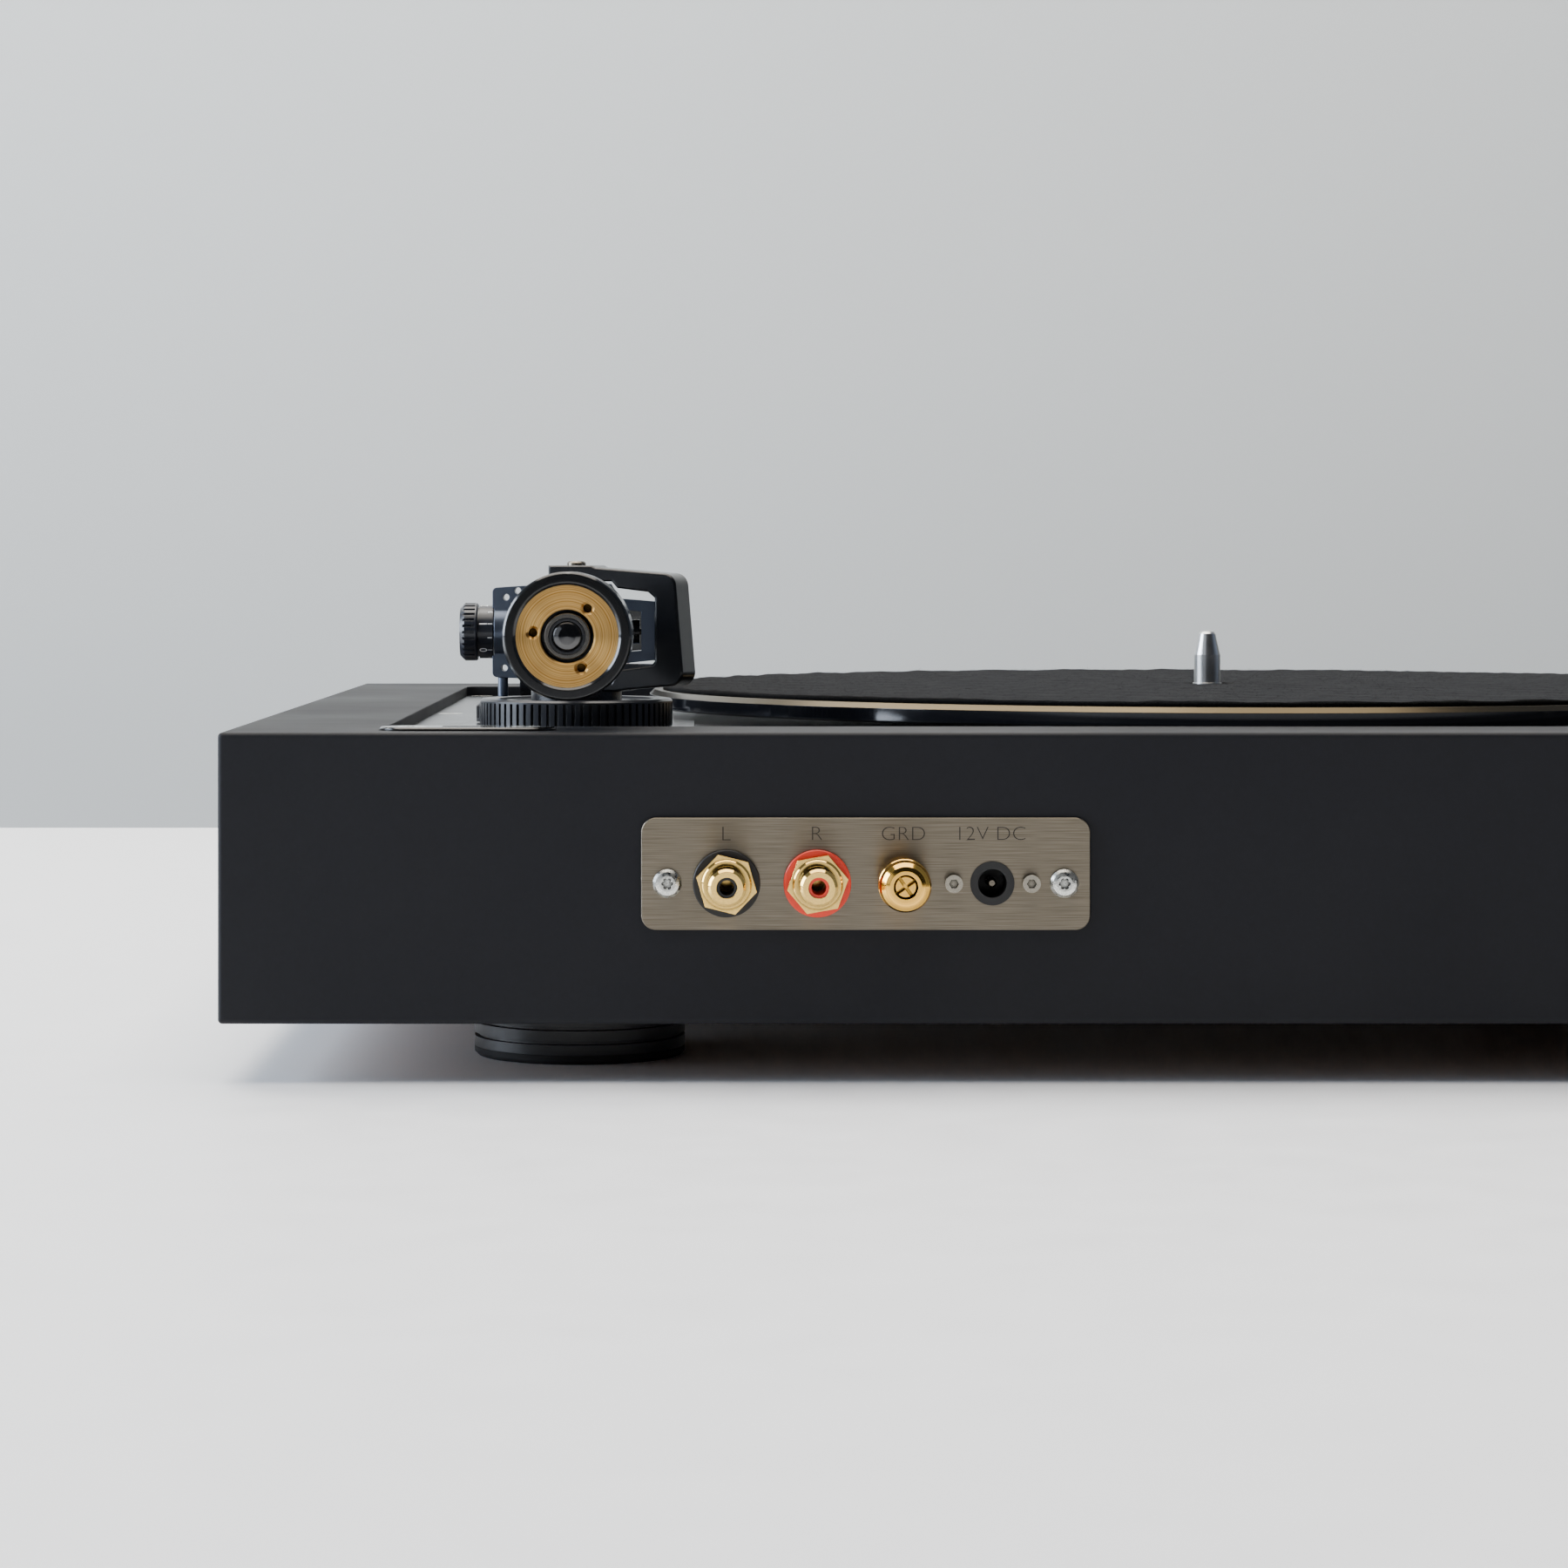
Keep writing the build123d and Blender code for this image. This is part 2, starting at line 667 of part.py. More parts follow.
# ================================================================== deck and drive
belt_line_dir = Vector(cos(radians(pulley_bearing_angle)), sin(radians(pulley_bearing_angle)), 0)
z_bridge = z_plate_under - bridge_depth_below_plate
z_sub_bottom = z_platter - sub_platter_height
sub_opening = sub_platter_radius + 5.0
pulley_opening = pulley_radius + pulley_flange + 6.0
bridge_plane = Plane((x_spindle, y_spindle, z_bridge), x_dir=belt_line_dir, z_dir=(0, 0, 1))
deck_belt_plane = Plane((x_spindle, y_spindle, z_deck), x_dir=belt_line_dir, z_dir=(0, 0, 1))
pulley_plane = Plane(
    (x_spindle + belt_line_dir.X * pulley_distance, y_spindle + belt_line_dir.Y * pulley_distance, 0)
)
speed_plane = Plane((-x_side + speed_knob_inset_x, y_rear - speed_knob_inset_y, 0))
deck_plane = Plane((0, y_middle, z_deck))
collar_thread_radius = collar_radius - 2.5

with BuildPart() as top_plate:
    with BuildSketch(deck_plane):
        RectangleRounded(plate_width_x, plate_depth_y, opening_corner - plate_gap)
    extrude(amount=-top_plate_thickness)
    with BuildSketch(deck_belt_plane):
        Circle(sub_opening)
        with Locations((pulley_distance / 2, 0)):
            SlotCenterToCenter(pulley_distance, 2 * pulley_opening)
    extrude(amount=-top_plate_thickness, mode=Mode.SUBTRACT)
    drill(deck_plane, deck_screw_places, panel_screw_radius, top_plate_thickness)
    drill(deck_plane, deck_screw_places, panel_screw_head, top_plate_thickness / 3)
    drill(speed_plane.offset(z_deck), [(0, 0)], control_shaft_radius + running_gap, top_plate_thickness)
    drill(pivot_plane.offset(z_deck), [(0, 0)], collar_thread_radius, top_plate_thickness)
top_plate.part.label = "top_plate"
export_step(top_plate.part, "parts/top_plate.step")

# steel tray hung under the deck: web, two end legs and their out-turned flanges
bridge_start = -(sub_opening + 16.0)
bridge_end = pulley_distance + pulley_opening + 18.0
bridge_middle = (bridge_start + bridge_end) / 2
bridge_flange = 12.0
with BuildPart() as drive_bridge:
    with BuildSketch(bridge_plane):
        with Locations((bridge_middle, 0)):
            Rectangle(bridge_end - bridge_start, bridge_width)
    extrude(amount=-bridge_thickness)
    with BuildSketch(bridge_plane):
        for end, way in ((bridge_start, 1), (bridge_end, -1)):
            with Locations((end + way * bridge_thickness / 2, 0)):
                Rectangle(bridge_thickness, bridge_width)
    extrude(amount=bridge_depth_below_plate)
    with BuildSketch(bridge_plane.offset(bridge_depth_below_plate)):
        for end, way in ((bridge_start, -1), (bridge_end, 1)):
            with Locations((end + way * bridge_flange / 2, 0)):
                Rectangle(bridge_flange, bridge_width)
    extrude(amount=-bridge_thickness)
    drill(bridge_plane, [(0, 0)], bearing_radius, bridge_thickness)
    drill(bridge_plane, [(pulley_distance, 0)], motor_shaft_radius + 3.0, bridge_thickness)
drive_bridge.part.label = "drive_bridge"
export_step(drive_bridge.part, "parts/drive_bridge.step")

z_shaft_end = z_platter - shaft_length
z_thrust = z_shaft_end - thrust_ball_radius - end_gap
z_housing_top = z_sub_bottom - 1.0
bush_radius = shaft_radius + bush_wall
with BuildPart() as bearing_housing:
    spin(
        spindle_plane,
        [(0, z_thrust - bearing_floor), (bearing_radius - 1, z_thrust - bearing_floor),
         (bearing_radius, z_thrust - bearing_floor + 1), (bearing_radius, z_bridge),
         (bearing_flange_radius, z_bridge), (bearing_flange_radius, z_bridge + bearing_flange_height),
         (bearing_radius, z_bridge + bearing_flange_height), (bearing_radius, z_housing_top),
         (bush_radius, z_housing_top), (bush_radius, z_thrust), (0, z_thrust)],
    )
bearing_housing.part.label = "bearing_housing"
export_step(bearing_housing.part, "parts/bearing_housing.step")

with BuildPart() as bearing_bushes:
    for z in (z_shaft_end + 1.0, z_housing_top - 0.5 - bush_length):
        spin(
            spindle_plane,
            [(shaft_radius + running_gap, z), (bush_radius, z), (bush_radius, z + bush_length),
             (shaft_radius + running_gap, z + bush_length)],
        )
bearing_bushes.part.label = "bearing_bushes"
export_step(bearing_bushes.part, "parts/bearing_bushes.step")

ball_seat = thrust_ball_radius + 0.02
z_spindle_shoulder = z_record + spindle_cylinder
z_spindle_cone = z_spindle_shoulder + spindle_cone
with BuildPart() as spindle:
    spin(
        spindle_plane,
        [(0, z_shaft_end + thrust_ball_radius), (ball_seat, z_shaft_end + thrust_ball_radius),
         (ball_seat, z_shaft_end), (shaft_radius - 0.5, z_shaft_end),
         (shaft_radius, z_shaft_end + 0.5), (shaft_radius, z_platter),
         (spindle_seat_radius, z_platter), (spindle_seat_radius, z_record),
         (spindle_radius, z_record), (spindle_radius, z_spindle_shoulder),
         (spindle_tip_radius, z_spindle_cone),
         (spindle_tip_radius * 0.8, z_spindle_cone + spindle_dome * 0.6),
         (spindle_tip_radius * 0.4, z_spindle_cone + spindle_dome * 0.93),
         (0, z_spindle_cone + spindle_dome)],
    )
spindle.part.label = "spindle"
export_step(spindle.part, "parts/spindle.step")

with BuildPart() as thrust_ball:
    with Locations((x_spindle, y_spindle, z_shaft_end)):
        Sphere(thrust_ball_radius)
thrust_ball.part.label = "thrust_ball"
export_step(thrust_ball.part, "parts/thrust_ball.step")

sub_rim = 5.0
sub_web_low = z_platter - sub_platter_web
with BuildPart() as sub_platter:
    spin(
        spindle_plane,
        [(shaft_radius, z_sub_bottom), (sub_platter_hub, z_sub_bottom), (sub_platter_hub, sub_web_low),
         (sub_platter_radius - sub_rim, sub_web_low), (sub_platter_radius - sub_rim, z_sub_bottom),
         (sub_platter_radius, z_sub_bottom), (sub_platter_radius, z_platter),
         (shaft_radius, z_platter)],
    )
sub_platter.part.label = "sub_platter"
export_step(sub_platter.part, "parts/sub_platter.step")

platter_bore = spindle_seat_radius
platter_web = 3.2
platter_rim = 11.0
platter_seat = sub_platter_radius + 4.0
with BuildPart() as platter:
    spin(
        spindle_plane,
        [(platter_bore, z_platter), (platter_seat, z_platter), (platter_seat, z_mat - platter_web),
         (platter_radius - platter_rim, z_mat - platter_web), (platter_radius - platter_rim, z_platter),
         (platter_radius - 0.4, z_platter), (platter_radius, z_platter + 0.4),
         (platter_radius, z_platter + platter_side), (platter_radius - platter_bevel, z_mat),
         (platter_bore, z_mat)],
    )
platter.part.label = "platter"
export_step(platter.part, "parts/platter.step")

with BuildPart() as felt_mat:
    spin(
        spindle_plane,
        [(mat_hole_radius, z_mat), (mat_radius, z_mat), (mat_radius, z_record),
         (mat_hole_radius, z_record)],
    )
felt_mat.part.label = "felt_mat"
export_step(felt_mat.part, "parts/felt_mat.step")

# motor under the tray, its pulley level with the sub-platter's rim, and the belt between them
z_motor_top = z_bridge - bridge_thickness
z_belt = z_sub_bottom + 1.5
with BuildPart() as motor_can:
    spin(
        pulley_plane,
        [(0, z_motor_top - motor_height), (motor_radius - 1, z_motor_top - motor_height),
         (motor_radius, z_motor_top - motor_height + 1), (motor_radius, z_motor_top - 1),
         (motor_radius - 1, z_motor_top), (motor_shaft_radius + running_gap, z_motor_top),
         (motor_shaft_radius + running_gap, z_motor_top - motor_height / 2),
         (0, z_motor_top - motor_height / 2)],
    )
motor_can.part.label = "motor_can"
export_step(motor_can.part, "parts/motor_can.step")

pulley_low = z_belt - 1.5 - pulley_flange
pulley_high = z_belt + belt_width + 0.5
with BuildPart() as motor_pulley:
    spin(
        pulley_plane,
        [(0, z_motor_top - motor_height / 2 + end_gap),
         (motor_shaft_radius, z_motor_top - motor_height / 2 + end_gap),
         (motor_shaft_radius, pulley_low), (pulley_radius + pulley_flange, pulley_low),
         (pulley_radius + pulley_flange, pulley_low + pulley_flange),
         (pulley_radius, pulley_low + 1.5 * pulley_flange), (pulley_radius, pulley_high),
         (pulley_radius + pulley_flange / 2, pulley_high + 0.6),
         (pulley_radius + pulley_flange / 2, pulley_high + 1.0), (0, pulley_high + 1.0)],
    )
motor_pulley.part.label = "motor_pulley"
export_step(motor_pulley.part, "parts/motor_pulley.step")


def belt_outline(grow):
    """The flat belt's outline round the two wheels, grown evenly by this much."""
    with BuildSketch() as loop:
        Circle(sub_platter_radius + grow)
        with Locations((pulley_distance, 0)):
            Circle(pulley_radius + grow)
        make_hull()
    return loop.sketch


belt_plane = Plane((x_spindle, y_spindle, z_belt), x_dir=belt_line_dir, z_dir=(0, 0, 1))
with BuildPart() as drive_belt:
    with BuildSketch(belt_plane):
        add(belt_outline(belt_clearance + belt_thickness))
        add(belt_outline(belt_clearance), mode=Mode.SUBTRACT)
    extrude(amount=belt_width)
drive_belt.part.label = "drive_belt"
export_step(drive_belt.part, "parts/drive_belt.step")

# motor control board on the base, near the power inlet
board_length = 70.0
board_depth = 45.0
board_stand = 5.0
board_thickness = 1.6
board_plane = Plane((x_side - plate_inset_x, y_rear - 80.0, z_base_top))
with BuildPart() as circuit_board:
    with BuildSketch(board_plane):
        with GridLocations(board_length - 8, board_depth - 8, 2, 2):
            Circle(3.0)
    extrude(amount=board_stand)
    with BuildSketch(board_plane.offset(board_stand)):
        Rectangle(board_length, board_depth)
    extrude(amount=board_thickness)
    with BuildSketch(board_plane.offset(board_stand + board_thickness)):
        with Locations((-24, 10), (-24, -8)):
            Circle(5.0)
        with Locations((18, 0)):
            Rectangle(18, 12)
        with Locations((0, -14)):
            Rectangle(14, 6)
    extrude(amount=9.0)
circuit_board.part.label = "circuit_board"
export_step(circuit_board.part, "parts/circuit_board.step")

# speed selector: rotary switch under the deck, knob with its shaft above
switch_size = 22.0
switch_height = 14.0
with BuildPart() as speed_switch:
    with BuildSketch(speed_plane.offset(z_plate_under)):
        Rectangle(switch_size, switch_size)
    extrude(amount=-switch_height)
    drill(
        speed_plane.offset(z_plate_under), [(0, 0)], control_shaft_radius + running_gap,
        switch_height - 3.0,
    )
speed_switch.part.label = "speed_switch"
export_step(speed_switch.part, "parts/speed_switch.step")

knob_low = z_deck + 0.5
knob_high = z_deck + speed_knob_height
with BuildPart() as speed_knob:
    spin(
        speed_plane,
        [(0, z_plate_under - switch_height + 4.0),
         (control_shaft_radius, z_plate_under - switch_height + 4.0),
         (control_shaft_radius, knob_low), (speed_knob_radius, knob_low),
         (speed_knob_radius, knob_high - 1.0), (speed_knob_radius - 1.0, knob_high), (0, knob_high)],
    )
    with BuildSketch(speed_plane.offset(knob_high)):
        with Locations((0, -speed_knob_radius * 0.6)):
            Rectangle(1.2, speed_knob_radius * 0.6)
    extrude(amount=-0.6, mode=Mode.SUBTRACT)
    with BuildSketch(speed_plane.offset(knob_low)):
        with PolarLocations(speed_knob_radius, 36):
            Rectangle(0.8, 0.9)
    extrude(amount=speed_knob_height - 3.0, mode=Mode.SUBTRACT)
speed_knob.part.label = "speed_knob"
export_step(speed_knob.part, "parts/speed_knob.step")

# ================================================================== tonearm base
arm_top = Plane((x_pivot, y_pivot, z_top))


def above(height):
    """The level plane at this height over the plinth's top face, centred on the arm's pivot."""
    return arm_top.offset(height)


base_plate_level = base_plate_thickness - plate_recess
with BuildPart() as arm_base_plate:
    with BuildSketch(above(-plate_recess)):
        with Locations((0, (base_plate_back - base_plate_front) / 2)):
            RectangleRounded(base_plate_width, base_plate_front + base_plate_back, 3.0)
    extrude(amount=base_plate_thickness)
    drill(above(base_plate_level), [(0, 0)], collar_thread_radius, base_plate_thickness)
    drill(
        above(base_plate_level), [(antiskate_x, antiskate_y)], control_shaft_radius + running_gap,
        base_plate_thickness,
    )
arm_base_plate.part.label = "arm_base_plate"
export_step(arm_base_plate.part, "parts/arm_base_plate.step")

collar_depth = 20.0
pillar_depth = 16.0
with BuildPart() as height_collar:
    spin(
        arm_top,
        [(pillar_radius + running_gap, -collar_depth), (collar_thread_radius, -collar_depth),
         (collar_thread_radius, base_plate_level), (collar_radius, base_plate_level),
         (collar_radius, collar_top), (pillar_radius + running_gap, collar_top)],
    )
height_collar.part.label = "height_collar"
export_step(height_collar.part, "parts/height_collar.step")

# fluted ring that raises and lowers the whole arm
ring_low = base_plate_level + 0.2
with BuildPart() as height_ring:
    spin(
        arm_top,
        [(collar_radius + running_gap, ring_low), (ring_radius - 0.4, ring_low),
         (ring_radius, ring_low + 0.4), (ring_radius, ring_top - 0.5), (ring_radius - 0.5, ring_top),
         (ring_radius - 4.6, ring_top), (ring_radius - 5.0, ring_top - 0.5),
         (collar_radius + running_gap, ring_top - 0.5)],
    )
    with BuildSketch(above(ring_low)):
        with PolarLocations(ring_radius, ring_flutes):
            Rectangle(2 * ring_flute_depth, ring_flute_width)
    extrude(amount=ring_top - ring_rim - ring_low, mode=Mode.SUBTRACT)
height_ring.part.label = "height_ring"
export_step(height_ring.part, "parts/height_ring.step")

# sliding pillar that carries the fixed gimbal frame
pivot_seat_depth = 3.0
with BuildPart() as arm_pillar:
    spin(
        arm_top,
        [(0, -pillar_depth), (pillar_radius, -pillar_depth), (pillar_radius, collar_top + 0.2),
         (pillar_flange_radius, collar_top + 0.2), (pillar_flange_radius, pillar_flange_top - 0.3),
         (pillar_flange_radius - 0.3, pillar_flange_top), (pillar_radius, pillar_flange_top),
         (pillar_radius, pillar_top), (0, pillar_top)],
    )
    drill(above(pillar_top), [(0, 0)], pivot_screw_radius, pivot_seat_depth)
    for turn in (45.0, 135.0, 225.0, 315.0):
        spot = (13.3 * cos(radians(turn)), 13.3 * sin(radians(turn)))
        drill(above(pillar_flange_top), [spot], 1.2, 0.6)
arm_pillar.part.label = "arm_pillar"
export_step(arm_pillar.part, "parts/arm_pillar.step")

# ------------------------------------------------------------------ fixed gimbal frame
yoke_low = arm_axis_height - yoke_rise
yoke_high = arm_axis_height + yoke_rise
frame_gap = 0.5
frame_top = arm_axis_height + frame_rise
sill = yoke_low - frame_gap
lintel = yoke_high + frame_gap + 0.1
post_inner = frame_reach - frame_post
block_half = 5.7
frame_outline = [
    (-block_half, lintel), (-block_half, frame_top + 0.5), (block_half, frame_top + 0.5),
    (block_half + 1.0, frame_top), (frame_reach - 2.3, frame_top - 1.6),
    (frame_reach, pillar_top + 1.8), (14.5, pillar_top + 0.4), (12.5, pillar_top),
    (-10.0, pillar_top), (-10.0, sill), (11.0, sill), (12.5, sill + 3.0),
    (post_inner - 0.8, sill + 4.2), (post_inner, sill + 5.2), (post_inner, lintel - 3.9),
    (post_inner - 1.7, lintel - 2.5), (12.5, lintel - 1.6), (11.0, lintel),
]
with BuildPart() as gimbal_frame:
    with BuildSketch(frame_plane):
        with BuildLine():
            Polyline(*frame_outline, close=True)
        make_face()
        fillet(vertices().group_by(Axis.X)[-1] + vertices().group_by(Axis.X)[-2], frame_corner)
    extrude(amount=frame_depth / 2, both=True)
    chamfer(
        gimbal_frame.faces().filter_by(Axis(frame_plane.origin, frame_plane.z_dir)).edges(), 0.4
    )
    drill(above(frame_top + 1.0), [(0, 0)], pivot_screw_radius, frame_top + 1.0 - lintel)
    drill(above(sill), [(0, 0)], pivot_screw_radius, sill - pillar_top)
gimbal_frame.part.label = "gimbal_frame"
export_step(gimbal_frame.part, "parts/gimbal_frame.step")

# bearing screws on the vertical axis, each with a fine pin that runs in the yoke
pin_reach = 1.5
with BuildPart() as pivot_screws:
    spin(
        arm_top,
        [(0, yoke_high - pin_reach), (pivot_pin_radius, yoke_high - pin_reach),
         (pivot_pin_radius, lintel), (pivot_screw_radius, lintel),
         (pivot_screw_radius, frame_top + 1.1), (pivot_screw_radius - 0.4, frame_top + 1.5),
         (0, frame_top + 1.5)],
    )
    with BuildSketch(above(frame_top + 1.5)):
        Rectangle(2 * pivot_screw_radius, 0.7)
    extrude(amount=-1.0, mode=Mode.SUBTRACT)
    spin(
        arm_top,
        [(0, pillar_top - pivot_seat_depth), (pivot_screw_radius, pillar_top - pivot_seat_depth),
         (pivot_screw_radius, sill), (pivot_pin_radius, sill),
         (pivot_pin_radius, yoke_low + pin_reach), (0, yoke_low + pin_reach)],
    )
pivot_screws.part.label = "pivot_screws"
export_step(pivot_screws.part, "parts/pivot_screws.step")

# ------------------------------------------------------------------ swinging yoke
bore_in_yoke = pivot_pin_radius + running_gap
window_half = yoke_half_width - yoke_wall
mid = arm_axis_height
yoke_outline = [
    (yoke_half_width, yoke_low + 0.7), (yoke_half_width, yoke_high - 0.9), (6.0, yoke_high),
    (-8.5, yoke_high), (-10.5, mid + 8.1), (-yoke_half_width, mid + 7.3),
    (-yoke_half_width, mid - 6.7), (-10.5, mid - 7.7), (-8.5, yoke_low), (6.0, yoke_low),
]
yoke_window = [
    (window_half, mid - 7.1), (window_half, mid + 7.1), (8.5, mid + 8.2), (-7.5, mid + 8.2),
    (-9.0, mid + 5.7), (-window_half, mid + 4.9), (-window_half, mid - 4.5), (-9.0, mid - 5.1),
    (-7.5, mid - 8.2), (8.5, mid - 8.2),
]
yoke_holes = [(16.9, mid + 8.4), (14.1, mid + 10.0), (17.3, mid - 8.7)]
skate_pin_place = (17.8, 0)
skate_pin_radius = 1.25
side_screw_end = window_half + 1.7
dial_shaft_radius = 1.5
trunnion_radius = 3.0
trunnion_end = window_half - 0.4
with BuildPart() as gimbal_yoke:
    with BuildSketch(yoke_plane):
        with BuildLine():
            Polyline(*yoke_outline, close=True)
        make_face()
        fillet(vertices().group_by(Axis.X)[-1] + vertices().group_by(Axis.X)[0], 1.2)
    extrude(amount=yoke_depth / 2, both=True)
    with BuildSketch(yoke_plane):
        with BuildLine():
            Polyline(*yoke_window, close=True)
        make_face()
    extrude(amount=yoke_depth, both=True, mode=Mode.SUBTRACT)
    with BuildSketch(side_plane.offset(window_half)):
        Circle(dial_boss_radius)
    extrude(amount=dial_boss_end - window_half)
    with BuildSketch(side_plane.offset(dial_boss_end)):
        Circle(dial_boss_radius + 0.4)
    extrude(amount=yoke_half_width, mode=Mode.SUBTRACT)
    drill(side_plane.offset(dial_boss_end), [(0, 0)], dial_shaft_radius + running_gap, 2.2)
    drill(side_plane.offset(side_screw_end), [(0, 0)], side_screw_radius, 1.8)
    drill(side_plane.offset(-window_half), [(0, 0)], side_screw_radius, yoke_wall + 1.0)
    drill(above(yoke_high), [(0, 0)], bore_in_yoke, pin_reach + end_gap)
    drill(above(yoke_low + pin_reach + end_gap), [(0, 0)], bore_in_yoke, pin_reach + end_gap)
    with BuildSketch(yoke_plane.offset(-yoke_depth)):
        with Locations(*yoke_holes):
            Circle(0.8)
    extrude(amount=2 * yoke_depth, mode=Mode.SUBTRACT)
    with BuildSketch(above(ring_top + 0.4)):
        with Locations(skate_pin_place):
            Circle(skate_pin_radius)
    extrude(amount=yoke_low + 1.5 - ring_top - 0.4)
gimbal_yoke.part.label = "gimbal_yoke"
export_step(gimbal_yoke.part, "parts/gimbal_yoke.step")

with BuildPart() as side_bearing_screws:
    spin(
        side_plane,
        [(0, trunnion_end - 1.2), (pivot_pin_radius, trunnion_end - 1.2),
         (pivot_pin_radius, window_half), (side_screw_radius, window_half),
         (side_screw_radius, side_screw_end), (0, side_screw_end)],
    )
    spin(
        side_plane,
        [(0, -trunnion_end + 1.2), (pivot_pin_radius, -trunnion_end + 1.2),
         (pivot_pin_radius, -window_half), (side_screw_radius, -window_half),
         (side_screw_radius, -yoke_half_width - 0.1), (0, -yoke_half_width - 0.1)],
    )
side_bearing_screws.part.label = "side_bearing_screws"
export_step(side_bearing_screws.part, "parts/side_bearing_screws.step")

# tracking-force dial: smooth scale drum, groove, and a fluted cap
drum_radius = dial_boss_radius - 0.1
drum_start = dial_boss_end + dial_gap
with BuildPart() as force_dial:
    spin(
        side_plane,
        [(0, dial_boss_end - 1.8), (dial_shaft_radius, dial_boss_end - 1.8),
         (dial_shaft_radius, drum_start), (drum_radius, drum_start), (drum_radius, dial_drum_end - 0.1),
         (drum_radius - 0.4, dial_drum_end - 0.1), (drum_radius - 0.4, dial_drum_end + 0.3),
         (dial_radius - 0.3, dial_drum_end + 0.3), (dial_radius, dial_drum_end + 0.6),
         (dial_radius, dial_end - 1.2), (dial_radius - 1.2, dial_end), (0, dial_end)],
    )
    with BuildSketch(side_plane.offset(dial_drum_end + 0.9)):
        with PolarLocations(dial_radius, dial_flutes):
            Rectangle(0.9, 0.65)
    extrude(amount=dial_end - dial_drum_end, mode=Mode.SUBTRACT)
force_dial.part.label = "force_dial"
export_step(force_dial.part, "parts/force_dial.step")

# ================================================================== tonearm
bearing_bore = pivot_pin_radius + running_gap
with BuildPart() as arm_block:
    with BuildSketch(arm_plane):
        RectangleRounded(block_width, block_height, 2.0)
    extrude(amount=block_length / 2, both=True)
    chamfer(arm_block.faces().filter_by(Axis.Y).edges(), 0.5)
    with BuildSketch(side_plane):
        Circle(trunnion_radius)
    extrude(amount=trunnion_end, both=True)
    spin(
        arm_plane,
        [(0, block_length / 2 - 1), (stub_radius + 1.2, block_length / 2 - 1),
         (stub_radius + 1.2, block_length / 2 + 2.5), (stub_radius, block_length / 2 + 3.5),
         (stub_radius, stub_end), (0, stub_end)],
    )
    drill(arm_plane.offset(stub_end), [(0, 0)], stub_bore, 6.0)
    drill(arm_plane.offset(-block_length / 2 + 4.0), [(0, 0)], tube_radius, 5.0)
    drill(side_plane.offset(trunnion_end), [(0, 0)], bearing_bore, 1.5)
    drill(side_plane.offset(-trunnion_end + 1.5), [(0, 0)], bearing_bore, 1.5)
arm_block.part.label = "arm_block"
export_step(arm_block.part, "parts/arm_block.step")

tube_start = -block_length / 2 + 4.0
tube_end = -shell_joint + 2.0
with BuildPart() as arm_tube:
    spin(
        arm_plane,
        [(tube_radius - tube_wall, tube_start), (tube_radius, tube_start), (tube_radius, tube_end),
         (tube_radius - tube_wall, tube_end)],
    )
arm_tube.part.label = "arm_tube"
export_step(arm_tube.part, "parts/arm_tube.step")

with BuildPart() as stub_plug:
    spin(
        arm_plane,
        [(0, stub_end - 6.0), (stub_bore, stub_end - 6.0), (stub_bore, stub_end - 0.2),
         (stub_bore - 0.5, stub_end + 0.3), (stub_bore - 1.5, stub_end + 0.6), (0, stub_end + 0.7)],
    )
stub_plug.part.label = "stub_plug"
export_step(stub_plug.part, "parts/stub_plug.step")

# ------------------------------------------------------------------ counterweight
sleeve_bore = stub_radius + running_gap
drum_bore = sleeve_radius + running_gap
brass_back = weight_back - 0.5
brass_front = brass_back - brass_thickness
with BuildPart() as counterweight_drum:
    spin(
        arm_plane,
        [(drum_bore, weight_front), (weight_radius - 1.0, weight_front),
         (weight_radius, weight_front + 1.0), (weight_radius, weight_back - 0.5),
         (weight_radius - 0.5, weight_back), (brass_radius + 0.6, weight_back),
         (brass_radius, brass_back), (brass_radius, brass_front), (drum_bore, brass_front)],
    )
counterweight_drum.part.label = "counterweight_drum"
export_step(counterweight_drum.part, "parts/counterweight_drum.step")

brass_hole_circle = 7.8
with BuildPart() as counterweight_brass:
    spin(
        arm_plane,
        [(brass_bore, brass_front), (brass_radius, brass_front), (brass_radius, brass_back),
         (brass_bore + 0.3, brass_back), (brass_bore, brass_back - 0.3)],
    )
    for turn in (174.0, 54.0, -66.0):
        spot = (-brass_hole_circle * cos(radians(turn)), -brass_hole_circle * sin(radians(turn)))
        seat = arm_plane.offset(brass_back)
        spin(
            seat.shift_origin(seat.from_local_coords((spot[0], spot[1], 0))),
            [(0, 0), (1.6, 0), (1.0, -0.6), (1.0, -4.0), (0, -4.0)],
            mode=Mode.SUBTRACT,
        )
counterweight_brass.part.label = "counterweight_brass"
export_step(counterweight_brass.part, "parts/counterweight_brass.step")

with BuildPart() as counterweight_sleeve:
    spin(
        arm_plane,
        [(sleeve_bore, weight_front + 0.5), (sleeve_radius, weight_front + 0.5),
         (sleeve_radius, weight_back - 0.9), (sleeve_radius - 0.3, weight_back - 0.6),
         (sleeve_bore, weight_back - 0.6)],
    )
counterweight_sleeve.part.label = "counterweight_sleeve"
export_step(counterweight_sleeve.part, "parts/counterweight_sleeve.step")

